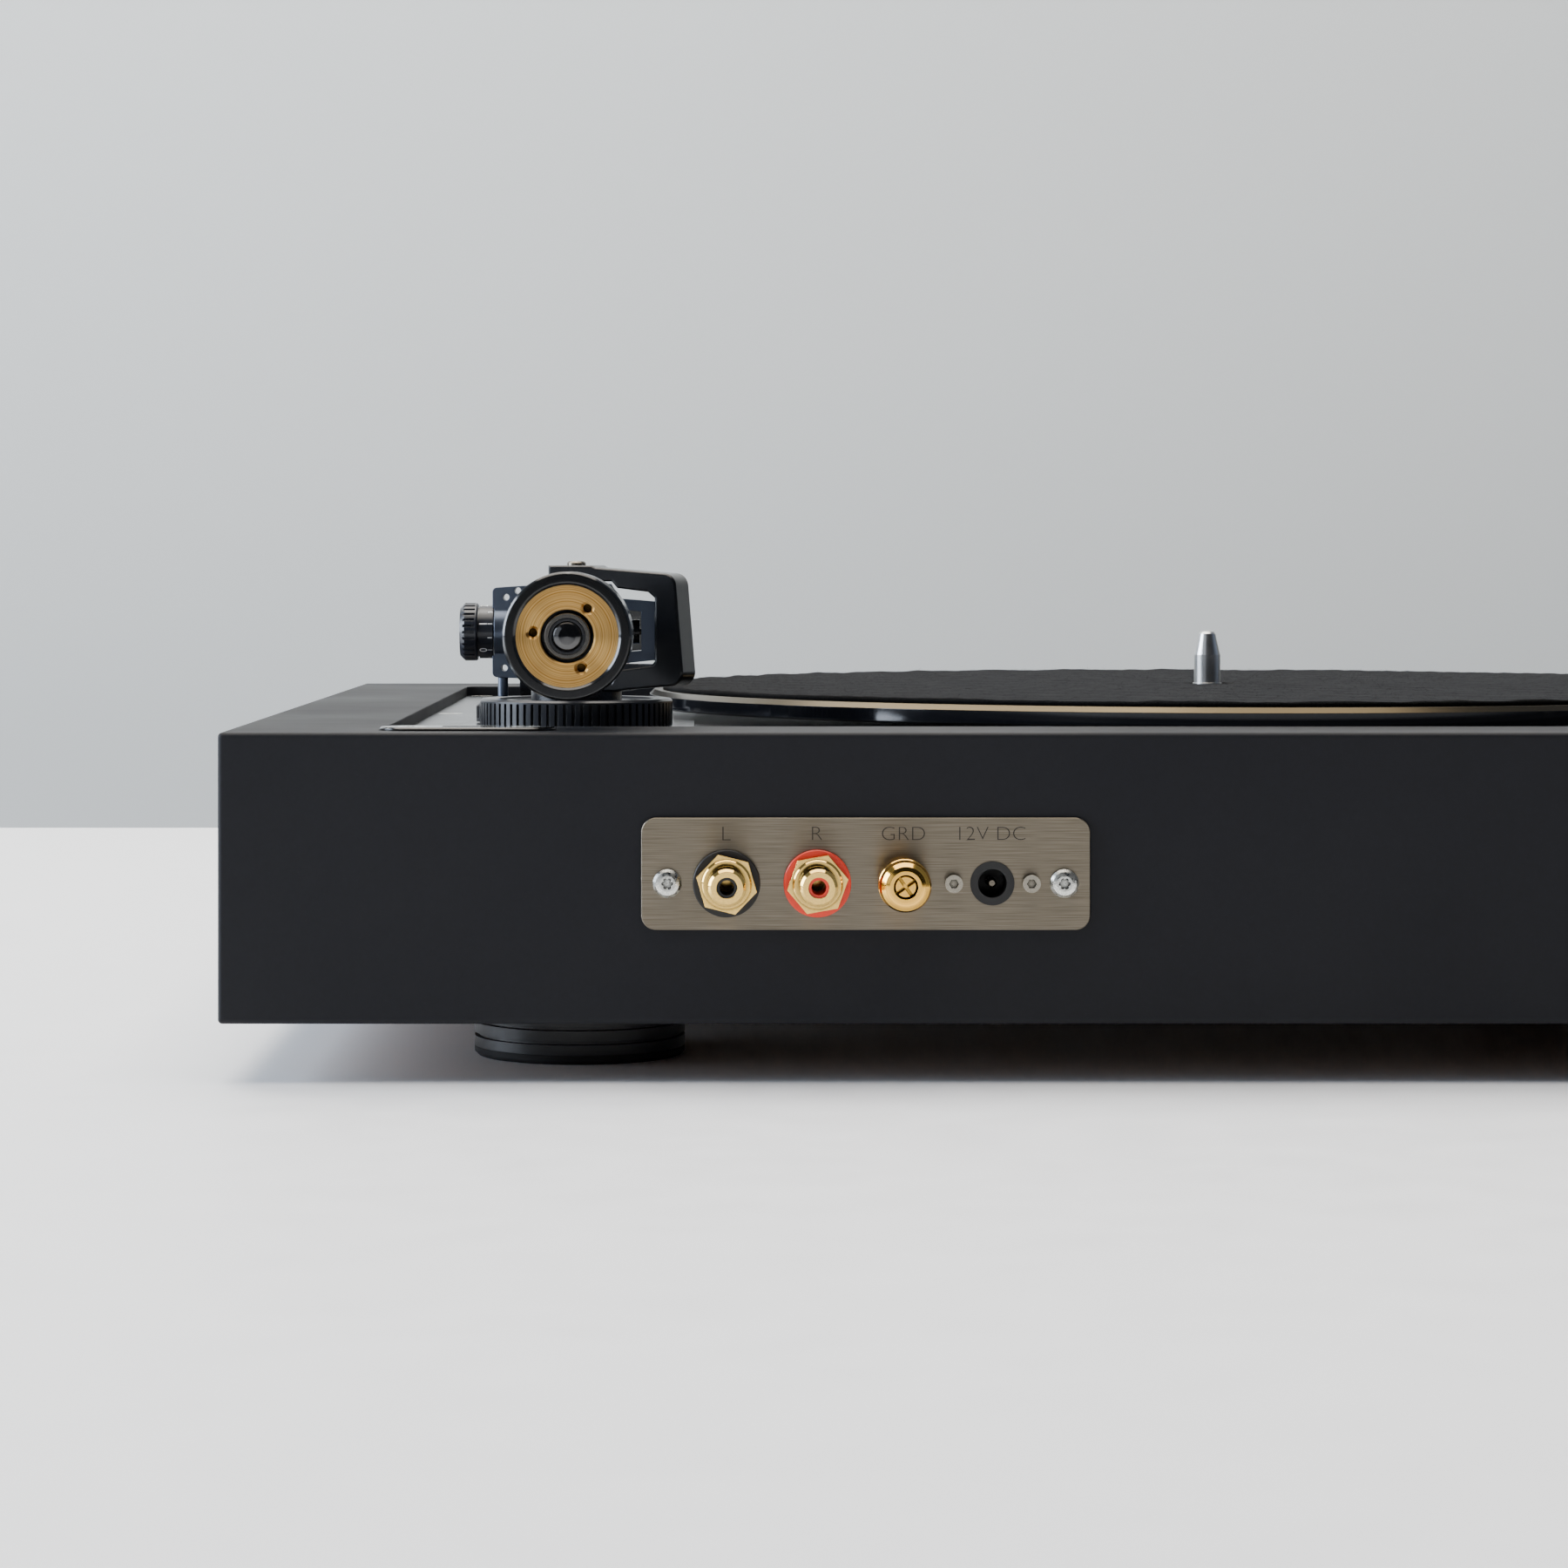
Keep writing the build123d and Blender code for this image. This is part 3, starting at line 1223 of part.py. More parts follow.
# ------------------------------------------------------------------ headshell, cartridge, stylus
forward = Vector(-sin(radians(shell_angle)), -cos(radians(shell_angle)), 0)
shell_plane = Plane((x_pivot, y_pivot - shell_joint, z_axis), x_dir=forward, z_dir=(0, 0, 1))
shell_half = 1.0
collar_start = -shell_joint + 12.0
shell_back = -4.0
with BuildPart() as headshell:
    with BuildSketch(shell_plane.offset(-shell_half)):
        with Locations((shell_back + shell_length / 2, 0)):
            RectangleRounded(shell_length, shell_width, 3.5)
        with Locations((shell_reach - 8.0, shell_width / 2 + 3.0)):
            RectangleRounded(7.0, 12.0, 2.5)
        with Locations((shell_reach - 2.0, 0)):
            SlotOverall(14.0, 2.6, mode=Mode.SUBTRACT)
    extrude(amount=2 * shell_half)
    with BuildSketch(shell_plane.offset(shell_half)):
        for side in (-1, 1):
            with Locations((shell_back + shell_length / 2, side * (shell_width / 2 - 1.0))):
                Rectangle(shell_length - 8.0, 1.4)
    extrude(amount=2.2)
    with BuildSketch(arm_plane.offset(collar_start)):
        Circle(tube_radius + 1.1)
    extrude(amount=tube_end - 0.5 - collar_start)
    drill(arm_plane.offset(collar_start), [(0, 0)], tube_radius, collar_start - tube_end)
headshell.part.label = "headshell"
export_step(headshell.part, "parts/headshell.step")

cartridge_low = -shell_half - cartridge_height
cartridge_middle = shell_reach - 3.0
with BuildPart() as cartridge:
    with BuildSketch(shell_plane.offset(-shell_half)):
        with Locations((cartridge_middle, 0)):
            RectangleRounded(cartridge_length, cartridge_width, 1.5)
    extrude(amount=-cartridge_height)
    chamfer(cartridge.faces().sort_by(Axis.Z)[0].edges(), 1.2)
    with BuildSketch(shell_plane.offset(-shell_half - cartridge_height / 2)):
        with GridLocations(1, 2.5, 1, 4):
            with Locations((cartridge_middle - cartridge_length / 2 - 1.5, 0)):
                Rectangle(4.0, 1.1)
    extrude(amount=1.1)
cartridge.part.label = "cartridge"
export_step(cartridge.part, "parts/cartridge.step")

holder_height = 1.8
with BuildPart() as stylus:
    with BuildSketch(shell_plane.offset(cartridge_low)):
        with Locations((shell_reach - 1.0, 0)):
            RectangleRounded(11.0, 6.0, 1.0)
    extrude(amount=-holder_height)
    with Locations(Plane(shell_plane.from_local_coords((shell_reach, 0, 0)))):
        with Locations((0, 0, (cartridge_low - holder_height - stylus_drop) / 2)):
            Cone(0.15, 1.0, stylus_drop + cartridge_low - holder_height)
stylus.part.label = "stylus"
export_step(stylus.part, "parts/stylus.step")

# ------------------------------------------------------------------ arm rest and its clip
rest_plane = Plane((x_pivot, y_pivot - rest_distance, z_top))
rest_front = Plane((x_pivot, y_pivot - rest_distance, z_top), x_dir=(1, 0, 0), z_dir=(0, -1, 0))
rest_depth = 8.0
prong_inner = tube_radius + rest_gap + 0.4
prong_outer = prong_inner + 4.0
clip_thickness = 1.8
clip_pin_height = mid + tube_radius + clip_thickness / 2 + 1.2
prong_top = clip_pin_height + 1.8
cradle_top = mid - tube_radius - rest_gap
clip_axis = (prong_inner + prong_outer) / 2
with BuildPart() as arm_rest:
    with BuildSketch(rest_plane.offset(-plate_recess)):
        Circle(7.0)
    extrude(amount=2.0)
    with BuildSketch(rest_plane.offset(-plate_recess)):
        Circle(4.0)
    extrude(amount=cradle_top + plate_recess - 2.0)
    with BuildSketch(rest_front):
        with BuildLine():
            Polyline(
                (-4.0, cradle_top - 5.0), (-4.0, cradle_top), (prong_inner - 1.0, cradle_top),
                (prong_inner, cradle_top + 1.0), (prong_inner, prong_top - 4.5),
                (prong_outer, prong_top - 4.5), (prong_outer, cradle_top - 2.0),
                (prong_outer - 3.0, cradle_top - 5.0), close=True,
            )
        make_face()
    extrude(amount=rest_depth / 2, both=True)
    for face_way in (-1, 1):
        with BuildSketch(rest_front.offset(face_way * (rest_depth / 2 - 1.25))):
            with Locations((clip_axis, prong_top - 2.5)):
                Rectangle(prong_outer - prong_inner, 5.0)
            with Locations((clip_axis, clip_pin_height)):
                Circle(0.8 + running_gap, mode=Mode.SUBTRACT)
        extrude(amount=1.25, both=True)
arm_rest.part.label = "arm_rest"
export_step(arm_rest.part, "parts/arm_rest.step")

clip_width = rest_depth - 5.0 - 2 * end_gap
clip_length = 14.0
with BuildPart() as arm_clip:
    with BuildSketch(rest_front):
        with Locations((clip_axis, clip_pin_height)):
            Circle(1.7)
        with Locations((clip_axis + clip_length / 2, clip_pin_height)):
            RectangleRounded(clip_length, clip_thickness, 0.8)
    extrude(amount=clip_width / 2, both=True)
    with BuildSketch(rest_front):
        with Locations((clip_axis, clip_pin_height)):
            Circle(0.8)
    extrude(amount=rest_depth / 2, both=True)
arm_clip.part.label = "arm_clip"
export_step(arm_clip.part, "parts/arm_clip.step")

# ------------------------------------------------------------------ cueing lever and lift
cue_x = cue_radius * sin(radians(cue_angle))
cue_y = -cue_radius * cos(radians(cue_angle))
cue_plane = Plane((x_pivot + cue_x, y_pivot + cue_y, z_top))
bracket_low = ring_top + 0.4
bracket_high = pillar_top - 0.1
housing_low = 0.5
bar_top = arm_axis_height - tube_radius - cue_drop
bar_low = bar_top - cue_bar
housing_top = bar_low - 0.4
with BuildSketch() as bracket_outline:
    with Locations((-2.0, -10.0)):
        Circle(4.5)
    with Locations((cue_x, cue_y)):
        Circle(cue_housing_radius)
    make_hull()
with BuildPart() as cue_housing:
    with BuildSketch(above(bracket_low)):
        add(bracket_outline.sketch)
        Circle(pillar_radius, mode=Mode.SUBTRACT)
    extrude(amount=bracket_high - bracket_low)
    with BuildSketch(cue_plane.offset(housing_low)):
        Circle(cue_housing_radius)
    extrude(amount=housing_top - housing_low)
    drill(
        cue_plane.offset(housing_top), [(0, 0)], cue_piston_radius + running_gap,
        housing_top - housing_low - 1.0,
    )
    drill(
        Plane((x_pivot + cue_x + cue_housing_radius, y_pivot + cue_y, z_top + cue_axis_height),
              x_dir=(0, 1, 0), z_dir=(1, 0, 0)),
        [(0, 0)], 1.2 + running_gap, 2.5,
    )
cue_housing.part.label = "cue_housing"
export_step(cue_housing.part, "parts/cue_housing.step")

lever_tilt = 15.0
lever_plane = Plane(
    (x_pivot + cue_x + cue_housing_radius + end_gap, y_pivot + cue_y, z_top + cue_axis_height),
    x_dir=(0, -cos(radians(lever_tilt)), sin(radians(lever_tilt))), z_dir=(1, 0, 0),
)
with BuildPart() as cue_lever:
    with BuildSketch(lever_plane):
        Circle(3.0)
    extrude(amount=3.0)
    with BuildSketch(lever_plane):
        Circle(1.2)
    extrude(amount=-2.3)
    with BuildSketch(lever_plane):
        with Locations((cue_lever_length / 2, 0)):
            Rectangle(cue_lever_length, 2.4)
        with Locations((cue_lever_length, 0)):
            SlotOverall(9.0, 4.0)
    extrude(amount=2.4)
cue_lever.part.label = "cue_lever"
export_step(cue_lever.part, "parts/cue_lever.step")

bar_start = -cue_angle - 3.0
bar_span = cue_sweep - bar_start
with BuildPart() as cue_lift:
    with BuildSketch(cue_plane.offset(housing_low + 1.0 + end_gap)):
        Circle(cue_piston_radius)
    extrude(amount=bar_low - housing_low - 1.0)
    with BuildSketch(above(bar_low)):
        Circle(cue_radius + cue_bar / 2)
        Circle(cue_radius - cue_bar / 2, mode=Mode.SUBTRACT)
        with BuildLine():
            Polyline(
                (0, 0),
                (-60 * sin(radians(bar_start)), -60 * cos(radians(bar_start))),
                (-60 * sin(radians(bar_start + bar_span / 3)), -60 * cos(radians(bar_start + bar_span / 3))),
                (-60 * sin(radians(cue_sweep - bar_span / 3)), -60 * cos(radians(cue_sweep - bar_span / 3))),
                (-60 * sin(radians(cue_sweep)), -60 * cos(radians(cue_sweep))),
                close=True,
            )
        make_face(mode=Mode.INTERSECT)
    extrude(amount=cue_bar)
cue_lift.part.label = "cue_lift"
export_step(cue_lift.part, "parts/cue_lift.step")

# anti-skating knob on the arm's base plate
skate_plane = above(base_plate_level).shift_origin(
    (x_pivot + antiskate_x, y_pivot + antiskate_y, z_top + base_plate_level)
)
with BuildPart() as antiskate_knob:
    spin(
        skate_plane,
        [(0, -base_plate_thickness), (control_shaft_radius, -base_plate_thickness),
         (control_shaft_radius, 0.3), (antiskate_radius, 0.3), (antiskate_radius, antiskate_height - 0.8),
         (antiskate_radius - 0.8, antiskate_height), (0, antiskate_height)],
    )
    with BuildSketch(skate_plane.offset(1.2)):
        with PolarLocations(antiskate_radius, 32):
            Rectangle(0.8, 0.7)
    extrude(amount=antiskate_height, mode=Mode.SUBTRACT)
antiskate_knob.part.label = "antiskate_knob"
export_step(antiskate_knob.part, "parts/antiskate_knob.step")
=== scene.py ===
from math import cos, pi, radians, sin

import bmesh
import bpy
from mathutils import Matrix, Vector


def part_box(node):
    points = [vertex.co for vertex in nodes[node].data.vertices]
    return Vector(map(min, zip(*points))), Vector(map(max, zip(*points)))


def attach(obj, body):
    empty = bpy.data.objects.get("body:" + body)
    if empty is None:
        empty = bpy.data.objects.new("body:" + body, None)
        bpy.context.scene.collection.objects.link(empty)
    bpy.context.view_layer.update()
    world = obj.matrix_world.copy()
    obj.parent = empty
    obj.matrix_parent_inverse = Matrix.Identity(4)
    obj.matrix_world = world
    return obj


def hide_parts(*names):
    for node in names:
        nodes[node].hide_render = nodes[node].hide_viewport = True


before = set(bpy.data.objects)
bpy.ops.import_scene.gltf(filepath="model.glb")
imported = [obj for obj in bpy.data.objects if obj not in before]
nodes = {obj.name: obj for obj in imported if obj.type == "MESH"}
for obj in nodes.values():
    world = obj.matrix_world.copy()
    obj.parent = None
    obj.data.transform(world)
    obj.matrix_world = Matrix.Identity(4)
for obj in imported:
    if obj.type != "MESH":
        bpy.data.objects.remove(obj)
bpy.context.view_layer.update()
MM = 0.001
MAT_HOLE = 4.0 * MM


# ------------------------------------------------------------------ helpers
def linear(code):
    """A linear colour from sRGB hex digits."""
    out = []
    for i in (0, 2, 4):
        c = int(code[i : i + 2], 16) / 255
        out.append(c / 12.92 if c <= 0.04045 else ((c + 0.055) / 1.055) ** 2.4)
    return (*out, 1.0)


def node(tree, kind, settings=None, links=None):
    """Adds a node: its settings by name, and its inputs by name or number, each a value or an output."""
    made = tree.nodes.new(kind)
    for name, value in (settings or {}).items():
        setattr(made, name, value)
    for name, value in (links or {}).items():
        if isinstance(value, bpy.types.NodeSocket):
            tree.links.new(value, made.inputs[name])
        else:
            made.inputs[name].default_value = value
    return made


def noise(tree, coords, size, detail=2.0, dimensions="3D"):
    """Noise whose marks are this many mm across."""
    feed = "W" if dimensions == "1D" else "Vector"
    links = {feed: coords, "Scale": 1000.0 / size, "Detail": detail}
    return node(tree, "ShaderNodeTexNoise", {"noise_dimensions": dimensions}, links).outputs["Fac"]


def spread(tree, value, low, high, start=0.3, end=0.7):
    """Maps a 0 to 1 value to low to high."""
    links = {"Value": value, "From Min": start, "From Max": end, "To Min": low, "To Max": high}
    return node(tree, "ShaderNodeMapRange", {}, links).outputs["Result"]


def blend(tree, share, first, second):
    """Mixes two colours."""
    links = {0: share, 6: first, 7: second}
    return node(tree, "ShaderNodeMix", {"data_type": "RGBA"}, links).outputs[2]


def round_axis(tree, coords, centre, axis):
    """Distance from an axis through centre, in metres."""
    moved = node(tree, "ShaderNodeVectorMath", {"operation": "SUBTRACT"}, {0: coords, 1: centre})
    keep = [0.0 if i == "XYZ".index(axis) else 1.0 for i in range(3)]
    flat = node(tree, "ShaderNodeVectorMath", {"operation": "MULTIPLY"}, {0: moved.outputs[0], 1: keep})
    return node(tree, "ShaderNodeVectorMath", {"operation": "LENGTH"}, {0: flat.outputs[0]}).outputs["Value"]


def surface(
    name, code, roughness, metallic=0.0, ior=1.5, second=None, patch=18.0, vary=0.12,
    grain=0.5, bump=0.004, stretch=(1, 1, 1), edge=0.15, turned=None, aniso=0.0, brushed=None,
    coat=0.0, sheen=0.0, wear=0.0, painted_shade_reach=0.0,
):
    """A procedural finish. Patch, grain, bump, edge and the reach of the painted shade in recesses are in
    mm.

    Turned is the (centre, axis) of lathe marks, and brushed the direction that reflections spread in.
    """
    mat = bpy.data.materials.new(name)
    mat.use_nodes = True
    tree = mat.node_tree
    tree.nodes.clear()
    coords = node(tree, "ShaderNodeTexCoord").outputs["Object"]
    broad = noise(tree, coords, patch, 4.0)
    if turned:
        ring = round_axis(tree, coords, turned[0], turned[1])
        fine = noise(tree, ring, grain, 3.0, "1D")
    else:
        place = node(tree, "ShaderNodeMapping", {}, {"Vector": coords, "Scale": stretch}).outputs[0]
        fine = noise(tree, place, grain, 3.0)
    base = linear(code)
    other = linear(second) if second else tuple(min(1.0, c * 1.25 + 0.002) for c in base[:3]) + (1.0,)
    tone = blend(tree, spread(tree, fine, 0.0, 1.0), base, other)
    if wear:
        dust = noise(tree, coords, 0.35, 1.0)
        tone = blend(tree, spread(tree, dust, 0.0, wear, 0.72, 0.8), tone, linear("8E8E8A"))
    # Painted shade: in recesses and where parts meet, ambient occlusion within this reach darkens the colour
    # towards a tenth of its base.
    if painted_shade_reach:
        shade = node(tree, "ShaderNodeAmbientOcclusion", {"samples": 6}, {"Distance": painted_shade_reach * MM})
        open_share = spread(tree, shade.outputs["AO"], 0.0, 1.0, 0.35, 0.9)
        tone = blend(tree, open_share, tuple(c * 0.1 for c in base[:3]) + (1.0,), tone)
    rough = spread(tree, broad, roughness * (1 - vary), roughness * (1 + vary))
    round_edge = node(tree, "ShaderNodeBevel", {"samples": 6}, {"Radius": edge * MM}).outputs[0]
    links = {"Height": fine, "Distance": bump * MM, "Strength": 1.0, "Normal": round_edge}
    relief = node(tree, "ShaderNodeBump", {}, links).outputs[0]
    links = {
        "Base Color": tone, "Metallic": metallic, "Roughness": rough, "IOR": ior, "Normal": relief,
        "Coat Weight": coat, "Coat Roughness": 0.06, "Sheen Weight": sheen, "Sheen Roughness": 0.4,
        "Anisotropic": aniso,
    }
    shader = node(tree, "ShaderNodeBsdfPrincipled", {"name": "finish"}, links)
    if turned and aniso:
        grain_way = node(tree, "ShaderNodeTangent", {"direction_type": "RADIAL", "axis": turned[1]})
        tree.links.new(grain_way.outputs[0], shader.inputs["Tangent"])
        shader.inputs["Anisotropic Rotation"].default_value = 0.25
    if brushed:
        spread_way = node(tree, "ShaderNodeCombineXYZ", {}, dict(enumerate(brushed)))
        tree.links.new(spread_way.outputs[0], shader.inputs["Tangent"])
    node(tree, "ShaderNodeOutputMaterial", {}, {"Surface": shader.outputs[0]})
    return mat


def dress(mat, *names):
    """Gives CAD nodes one finish."""
    for name in names:
        mesh = nodes[name].data
        mesh.materials.clear()
        mesh.materials.append(mat)


def piece(name, mesh, mat, body):
    """A new visual piece that rides on a body."""
    obj = bpy.data.objects.new(name, mesh)
    bpy.context.scene.collection.objects.link(obj)
    mesh.materials.clear()
    mesh.materials.append(mat)
    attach(obj, body)
    return obj


def middle(name):
    """The centre of a CAD node's box."""
    low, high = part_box(name)
    return (low + high) / 2


def letters(text, height, thin=0.0):
    """Flat text as a mesh in its own XY plane, centred, with capitals of this height in mm."""
    curve = bpy.data.curves.new("letters", "FONT")
    curve.body = text
    curve.align_x = "CENTER"
    curve.size = 1.0
    curve.offset = thin
    curve.resolution_u = 8
    holder = bpy.data.objects.new("letters", curve)
    bpy.context.scene.collection.objects.link(holder)
    bpy.context.view_layer.update()
    graph = bpy.context.evaluated_depsgraph_get()
    mesh = bpy.data.meshes.new_from_object(holder.evaluated_get(graph))
    bpy.data.objects.remove(holder)
    low = min(v.co.y for v in mesh.vertices)
    high = max(v.co.y for v in mesh.vertices)
    wide = [v.co.x for v in mesh.vertices]
    size = height * MM / (high - low)
    shift = Vector((-(min(wide) + max(wide)) / 2, -(low + high) / 2, 0))
    mesh.transform(Matrix.Scale(size, 4) @ Matrix.Translation(shift))
    return mesh


def joined(name, parts):
    """Several (mesh, matrix) as one mesh."""
    bm = bmesh.new()
    for mesh, matrix in parts:
        turned = mesh.copy()
        turned.transform(matrix)
        bm.from_mesh(turned)
    made = bpy.data.meshes.new(name)
    bm.to_mesh(made)
    bm.free()
    return made


# ------------------------------------------------------------------ finishes
pivot = tuple(middle("pivot_screws").xy) + (middle("arm_tube").z,)
hub = tuple(middle("spindle").xy) + (0.0,)
motor_axis = tuple(middle("motor_pulley").xy) + (0.0,)
ground_axis = tuple(middle("ground_post"))

# Sprayed lacquer on board, matted: soft, dim reflections and a trace of dust.
lacquer = surface(
    "satin_black_lacquer_on_board", "0E0F14", 0.6, ior=1.33, second="101117", patch=60.0, vary=0.10,
    grain=0.9, bump=0.004, edge=0.7, wear=0.03,
)
# Raw pressed board: dull, with fine specks.
fibreboard = surface("plain_fibreboard", "6E5138", 0.85, second="82634A", grain=0.6, bump=0.05)
# Fine powder coat on sheet steel: a smooth skin that mirrors at low angles.
powder = surface(
    "satin_powder_coated_steel", "1B1B1C", 0.2, second="202021", patch=30.0, grain=0.35,
    bump=0.003, edge=0.25, wear=0.04,
)
# Bright zinc on screws: patchy shine, with painted shade in the drive recess.
zinc = surface(
    "zinc_plated_steel", "B5B6B2", 0.30, 1.0, 2.4, second="DCDDD6", patch=1.0, vary=0.45,
    grain=0.3, bump=0.035, edge=0.05, painted_shade_reach=1.2,
)
# Small plated screws: greyer, with painted shade in the socket.
cap_steel = surface("nickel_plated_steel", "8F8A7E", 0.22, 1.0, 2.4, patch=4.0, edge=0.04, painted_shade_reach=1.2)
# Moulded ABS: even satin.
moulded = surface("satin_black_abs", "141416", 0.42, grain=0.3, bump=0.006, edge=0.2)
# Moulded rubber: matt, slightly grainy.
rubber = surface("black_rubber", "101011", 0.78, grain=0.25, bump=0.02, edge=0.3)
# Ground rubber: matt and even.
belt_rubber = surface("ground_belt_rubber", "141414", 0.6, grain=0.2, bump=0.02)
# Stoved enamel on a casting: near black, with clear reflections.
gloss_enamel = surface("gloss_black_enamel", "08090C", 0.2, bump=0.0006, edge=0.5)
# Hard gloss enamel: sharp reflections.
hinge_enamel = surface("gloss_black_hinge_enamel", "0E0D0C", 0.14, coat=0.4, bump=0.001, edge=0.3)
# Brushed along X, so its reflections smear up and down.
brushed = surface(
    "brushed_stainless_steel", "696254", 0.36, 1.0, 2.5, second="8C8476", patch=25.0, vary=0.10,
    grain=0.16, bump=0.0016, stretch=(0.012, 1.0, 1.0), edge=0.12, aniso=0.9, brushed=(0.0, 0.0, 1.0),
)
# Flash gold on turned brass: sharp reflections, with painted shade where parts meet.
gold = surface(
    "polished_gold_plate", "DDB868", 0.10, 1.0, 0.47, patch=3.0, bump=0.0006, edge=0.16, painted_shade_reach=2.2
)
# The same plate over visible lathe rings, and a little deeper, with painted shade in its recesses.
gold_nut = surface(
    "turned_gold_plate", "E0AE50", 0.13, 1.0, 0.47, patch=3.0, grain=0.3, bump=0.0003, edge=0.15,
    turned=(ground_axis, "Y"), painted_shade_reach=0.8,
)
# Moulded nylon washer: flat black.
black_nylon = surface("black_nylon", "0A0A0B", 0.5, grain=0.2, bump=0.003)
# The same washer in orange red.
red_nylon = surface("red_nylon", "D9341D", 0.38, grain=0.2, bump=0.003, edge=0.12)
# Polished moulding: sharp, faint reflections.
jack_plastic = surface("gloss_black_polycarbonate", "0A0A0B", 0.16, ior=1.58, bump=0.001)
# Passivated sheet: cloudy grey.
sheet_zinc = surface("zinc_plated_sheet", "8E9090", 0.3, 1.0, 2.4, patch=9.0, vary=0.3)
# Lathe rings spread the light along the radius.
turned_aluminium = surface(
    "turned_aluminium", "A8A9AB", 0.25, 1.0, 1.44, grain=0.15, bump=0.002, turned=(hub, "Z"),
    aniso=0.5,
)
# Pressed powder: dull and warm.
bronze = surface("sintered_bronze", "8A6438", 0.45, 1.0, 1.18, grain=0.12, bump=0.01)
# Centreless ground steel: bright and slightly soft.
spindle_steel = surface(
    "ground_spindle_steel", "C4C6C8", 0.3, 1.0, 2.5, second="CCCAC4", patch=6.0, grain=0.3,
    bump=0.0001, edge=0.1,
)
# Lapped ball: a mirror.
ball_steel = surface("polished_ball_steel", "BDBDBD", 0.06, 1.0, 2.5, bump=0.0)
# Drawn, plated can: cloudy shine.
motor_steel = surface("plated_motor_can", "8C8D8F", 0.3, 1.0, 2.5, patch=8.0)
# Turned brass: fine rings.
pulley_brass = surface(
    "turned_pulley_brass", "B08D47", 0.22, 1.0, 0.45, grain=0.12, bump=0.002,
    turned=(motor_axis, "Z"),
)
# Solder mask: smooth green varnish.
board_green = surface("green_solder_mask", "14552B", 0.35, patch=3.0, bump=0.003)
# Black anodised turned aluminium: dark, with a cool sheen.
anodised = surface(
    "satin_black_anodised_aluminium", "131418", 0.27, 0.35, 1.6, second="191B20", patch=5.0,
    grain=0.15, bump=0.0015, edge=0.3,
)
# Blasted and anodised plate, black in fact: its base colour is lightened to blue-grey as a painted
# reflection of the window.
yoke_painted_reflection = surface(
    "black_anodised_yoke_painted_reflection", "596272", 0.34, 0.75, 1.6, second="4E5665", patch=4.0, grain=0.2,
    bump=0.001, edge=0.35,
)
# Acetal rings: slightly waxy.
ring_plastic = surface("satin_black_acetal", "1A1C21", 0.3, grain=0.2, bump=0.002, edge=0.12)
# Acetal with a cooler tone.
dial_plastic = surface("black_dial_acetal", "1C1F27", 0.3, grain=0.2, bump=0.002, edge=0.12)
# Drawn tube, marked along its length.
tube_aluminium = surface(
    "satin_anodised_tube", "9FA0A2", 0.28, 1.0, 1.44, grain=0.12, bump=0.0012, stretch=(1, 0.05, 1)
)
# Chemically blackened steel: brownish.
sleeve_steel = surface(
    "blackened_sleeve", "54524E", 0.26, 0.9, 2.0, grain=0.12, bump=0.001, turned=(pivot, "Y")
)
# Faced on a lathe. Its rings are drawn coarser than real, so that they show. Painted shade darkens it in
# recesses and where it meets other parts.
brass = surface(
    "turned_brass_face", "A87C3C", 0.42, 1.0, 0.45, second="D9B270", patch=3.0, vary=0.15,
    grain=0.3, bump=0.0005, turned=(pivot, "Y"), aniso=0.95, edge=0.15, painted_shade_reach=1.6,
)
# Lacquered metal drum: deep gloss.
drum_gloss = surface(
    "gloss_black_weight", "070809", 0.16, coat=0.3, grain=0.3, bump=0.0002, edge=0.5,
    turned=(pivot, "Y"),
)
# Polished plug: a small dark mirror.
dome_gloss = surface("gloss_black_plug", "060607", 0.05, coat=1.0, bump=0.0, edge=0.6)
# Dark red moulded grip.
amber = surface("amber_stylus_grip", "7E1410", 0.18, ior=1.5, bump=0.001)
# Heat-blued screw heads, seen as warm grey.
blued = surface("blued_bearing_steel", "6C665C", 0.25, 1.0, 2.5, patch=1.5)
# Flat white ink.
white_print = surface("white_scale_print", "E8EAEA", 0.55, bump=0.0, edge=0.0)
# Etched and filled letters: dark and dull.
engraving = surface("dark_etched_lettering", "2B2723", 0.5, 0.4, bump=0.0, edge=0.0)


def platter_finish():
    """Dark gloss side and a bright polished bevel under the mat, split by height, with lathe rings across
    the radius.
    """
    mat = surface(
        "gloss_enamelled_platter", "0B0D12", 0.085, coat=0.5, grain=0.3, bump=0.0006,
        turned=(hub, "Z"), edge=0.2,
    )
    tree = mat.node_tree
    shader = tree.nodes["finish"]
    coords = node(tree, "ShaderNodeTexCoord").outputs["Object"]
    height = node(tree, "ShaderNodeSeparateXYZ", {}, {0: coords}).outputs["Z"]
    low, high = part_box("platter")
    step = low.z + 0.0034
    upper = node(tree, "ShaderNodeMath", {"operation": "GREATER_THAN"}, {0: height, 1: step}).outputs[0]
    rings = noise(tree, round_axis(tree, coords, hub, "Z"), 0.1, 3.0, "1D")
    bright = blend(tree, spread(tree, rings, 0.0, 1.0), linear("352F24"), linear("5A503D"))
    dark = shader.inputs["Base Color"].links[0].from_socket
    tree.links.new(blend(tree, upper, dark, bright), shader.inputs["Base Color"])
    tree.links.new(upper, shader.inputs["Metallic"])
    tree.links.new(spread(tree, upper, 0.085, 0.24, 0.0, 1.0), shader.inputs["Roughness"])
    coat = node(tree, "ShaderNodeMath", {"operation": "SUBTRACT"}, {0: 0.5, 1: upper})
    coat.use_clamp = True
    tree.links.new(coat.outputs[0], shader.inputs["Coat Weight"])
    return mat


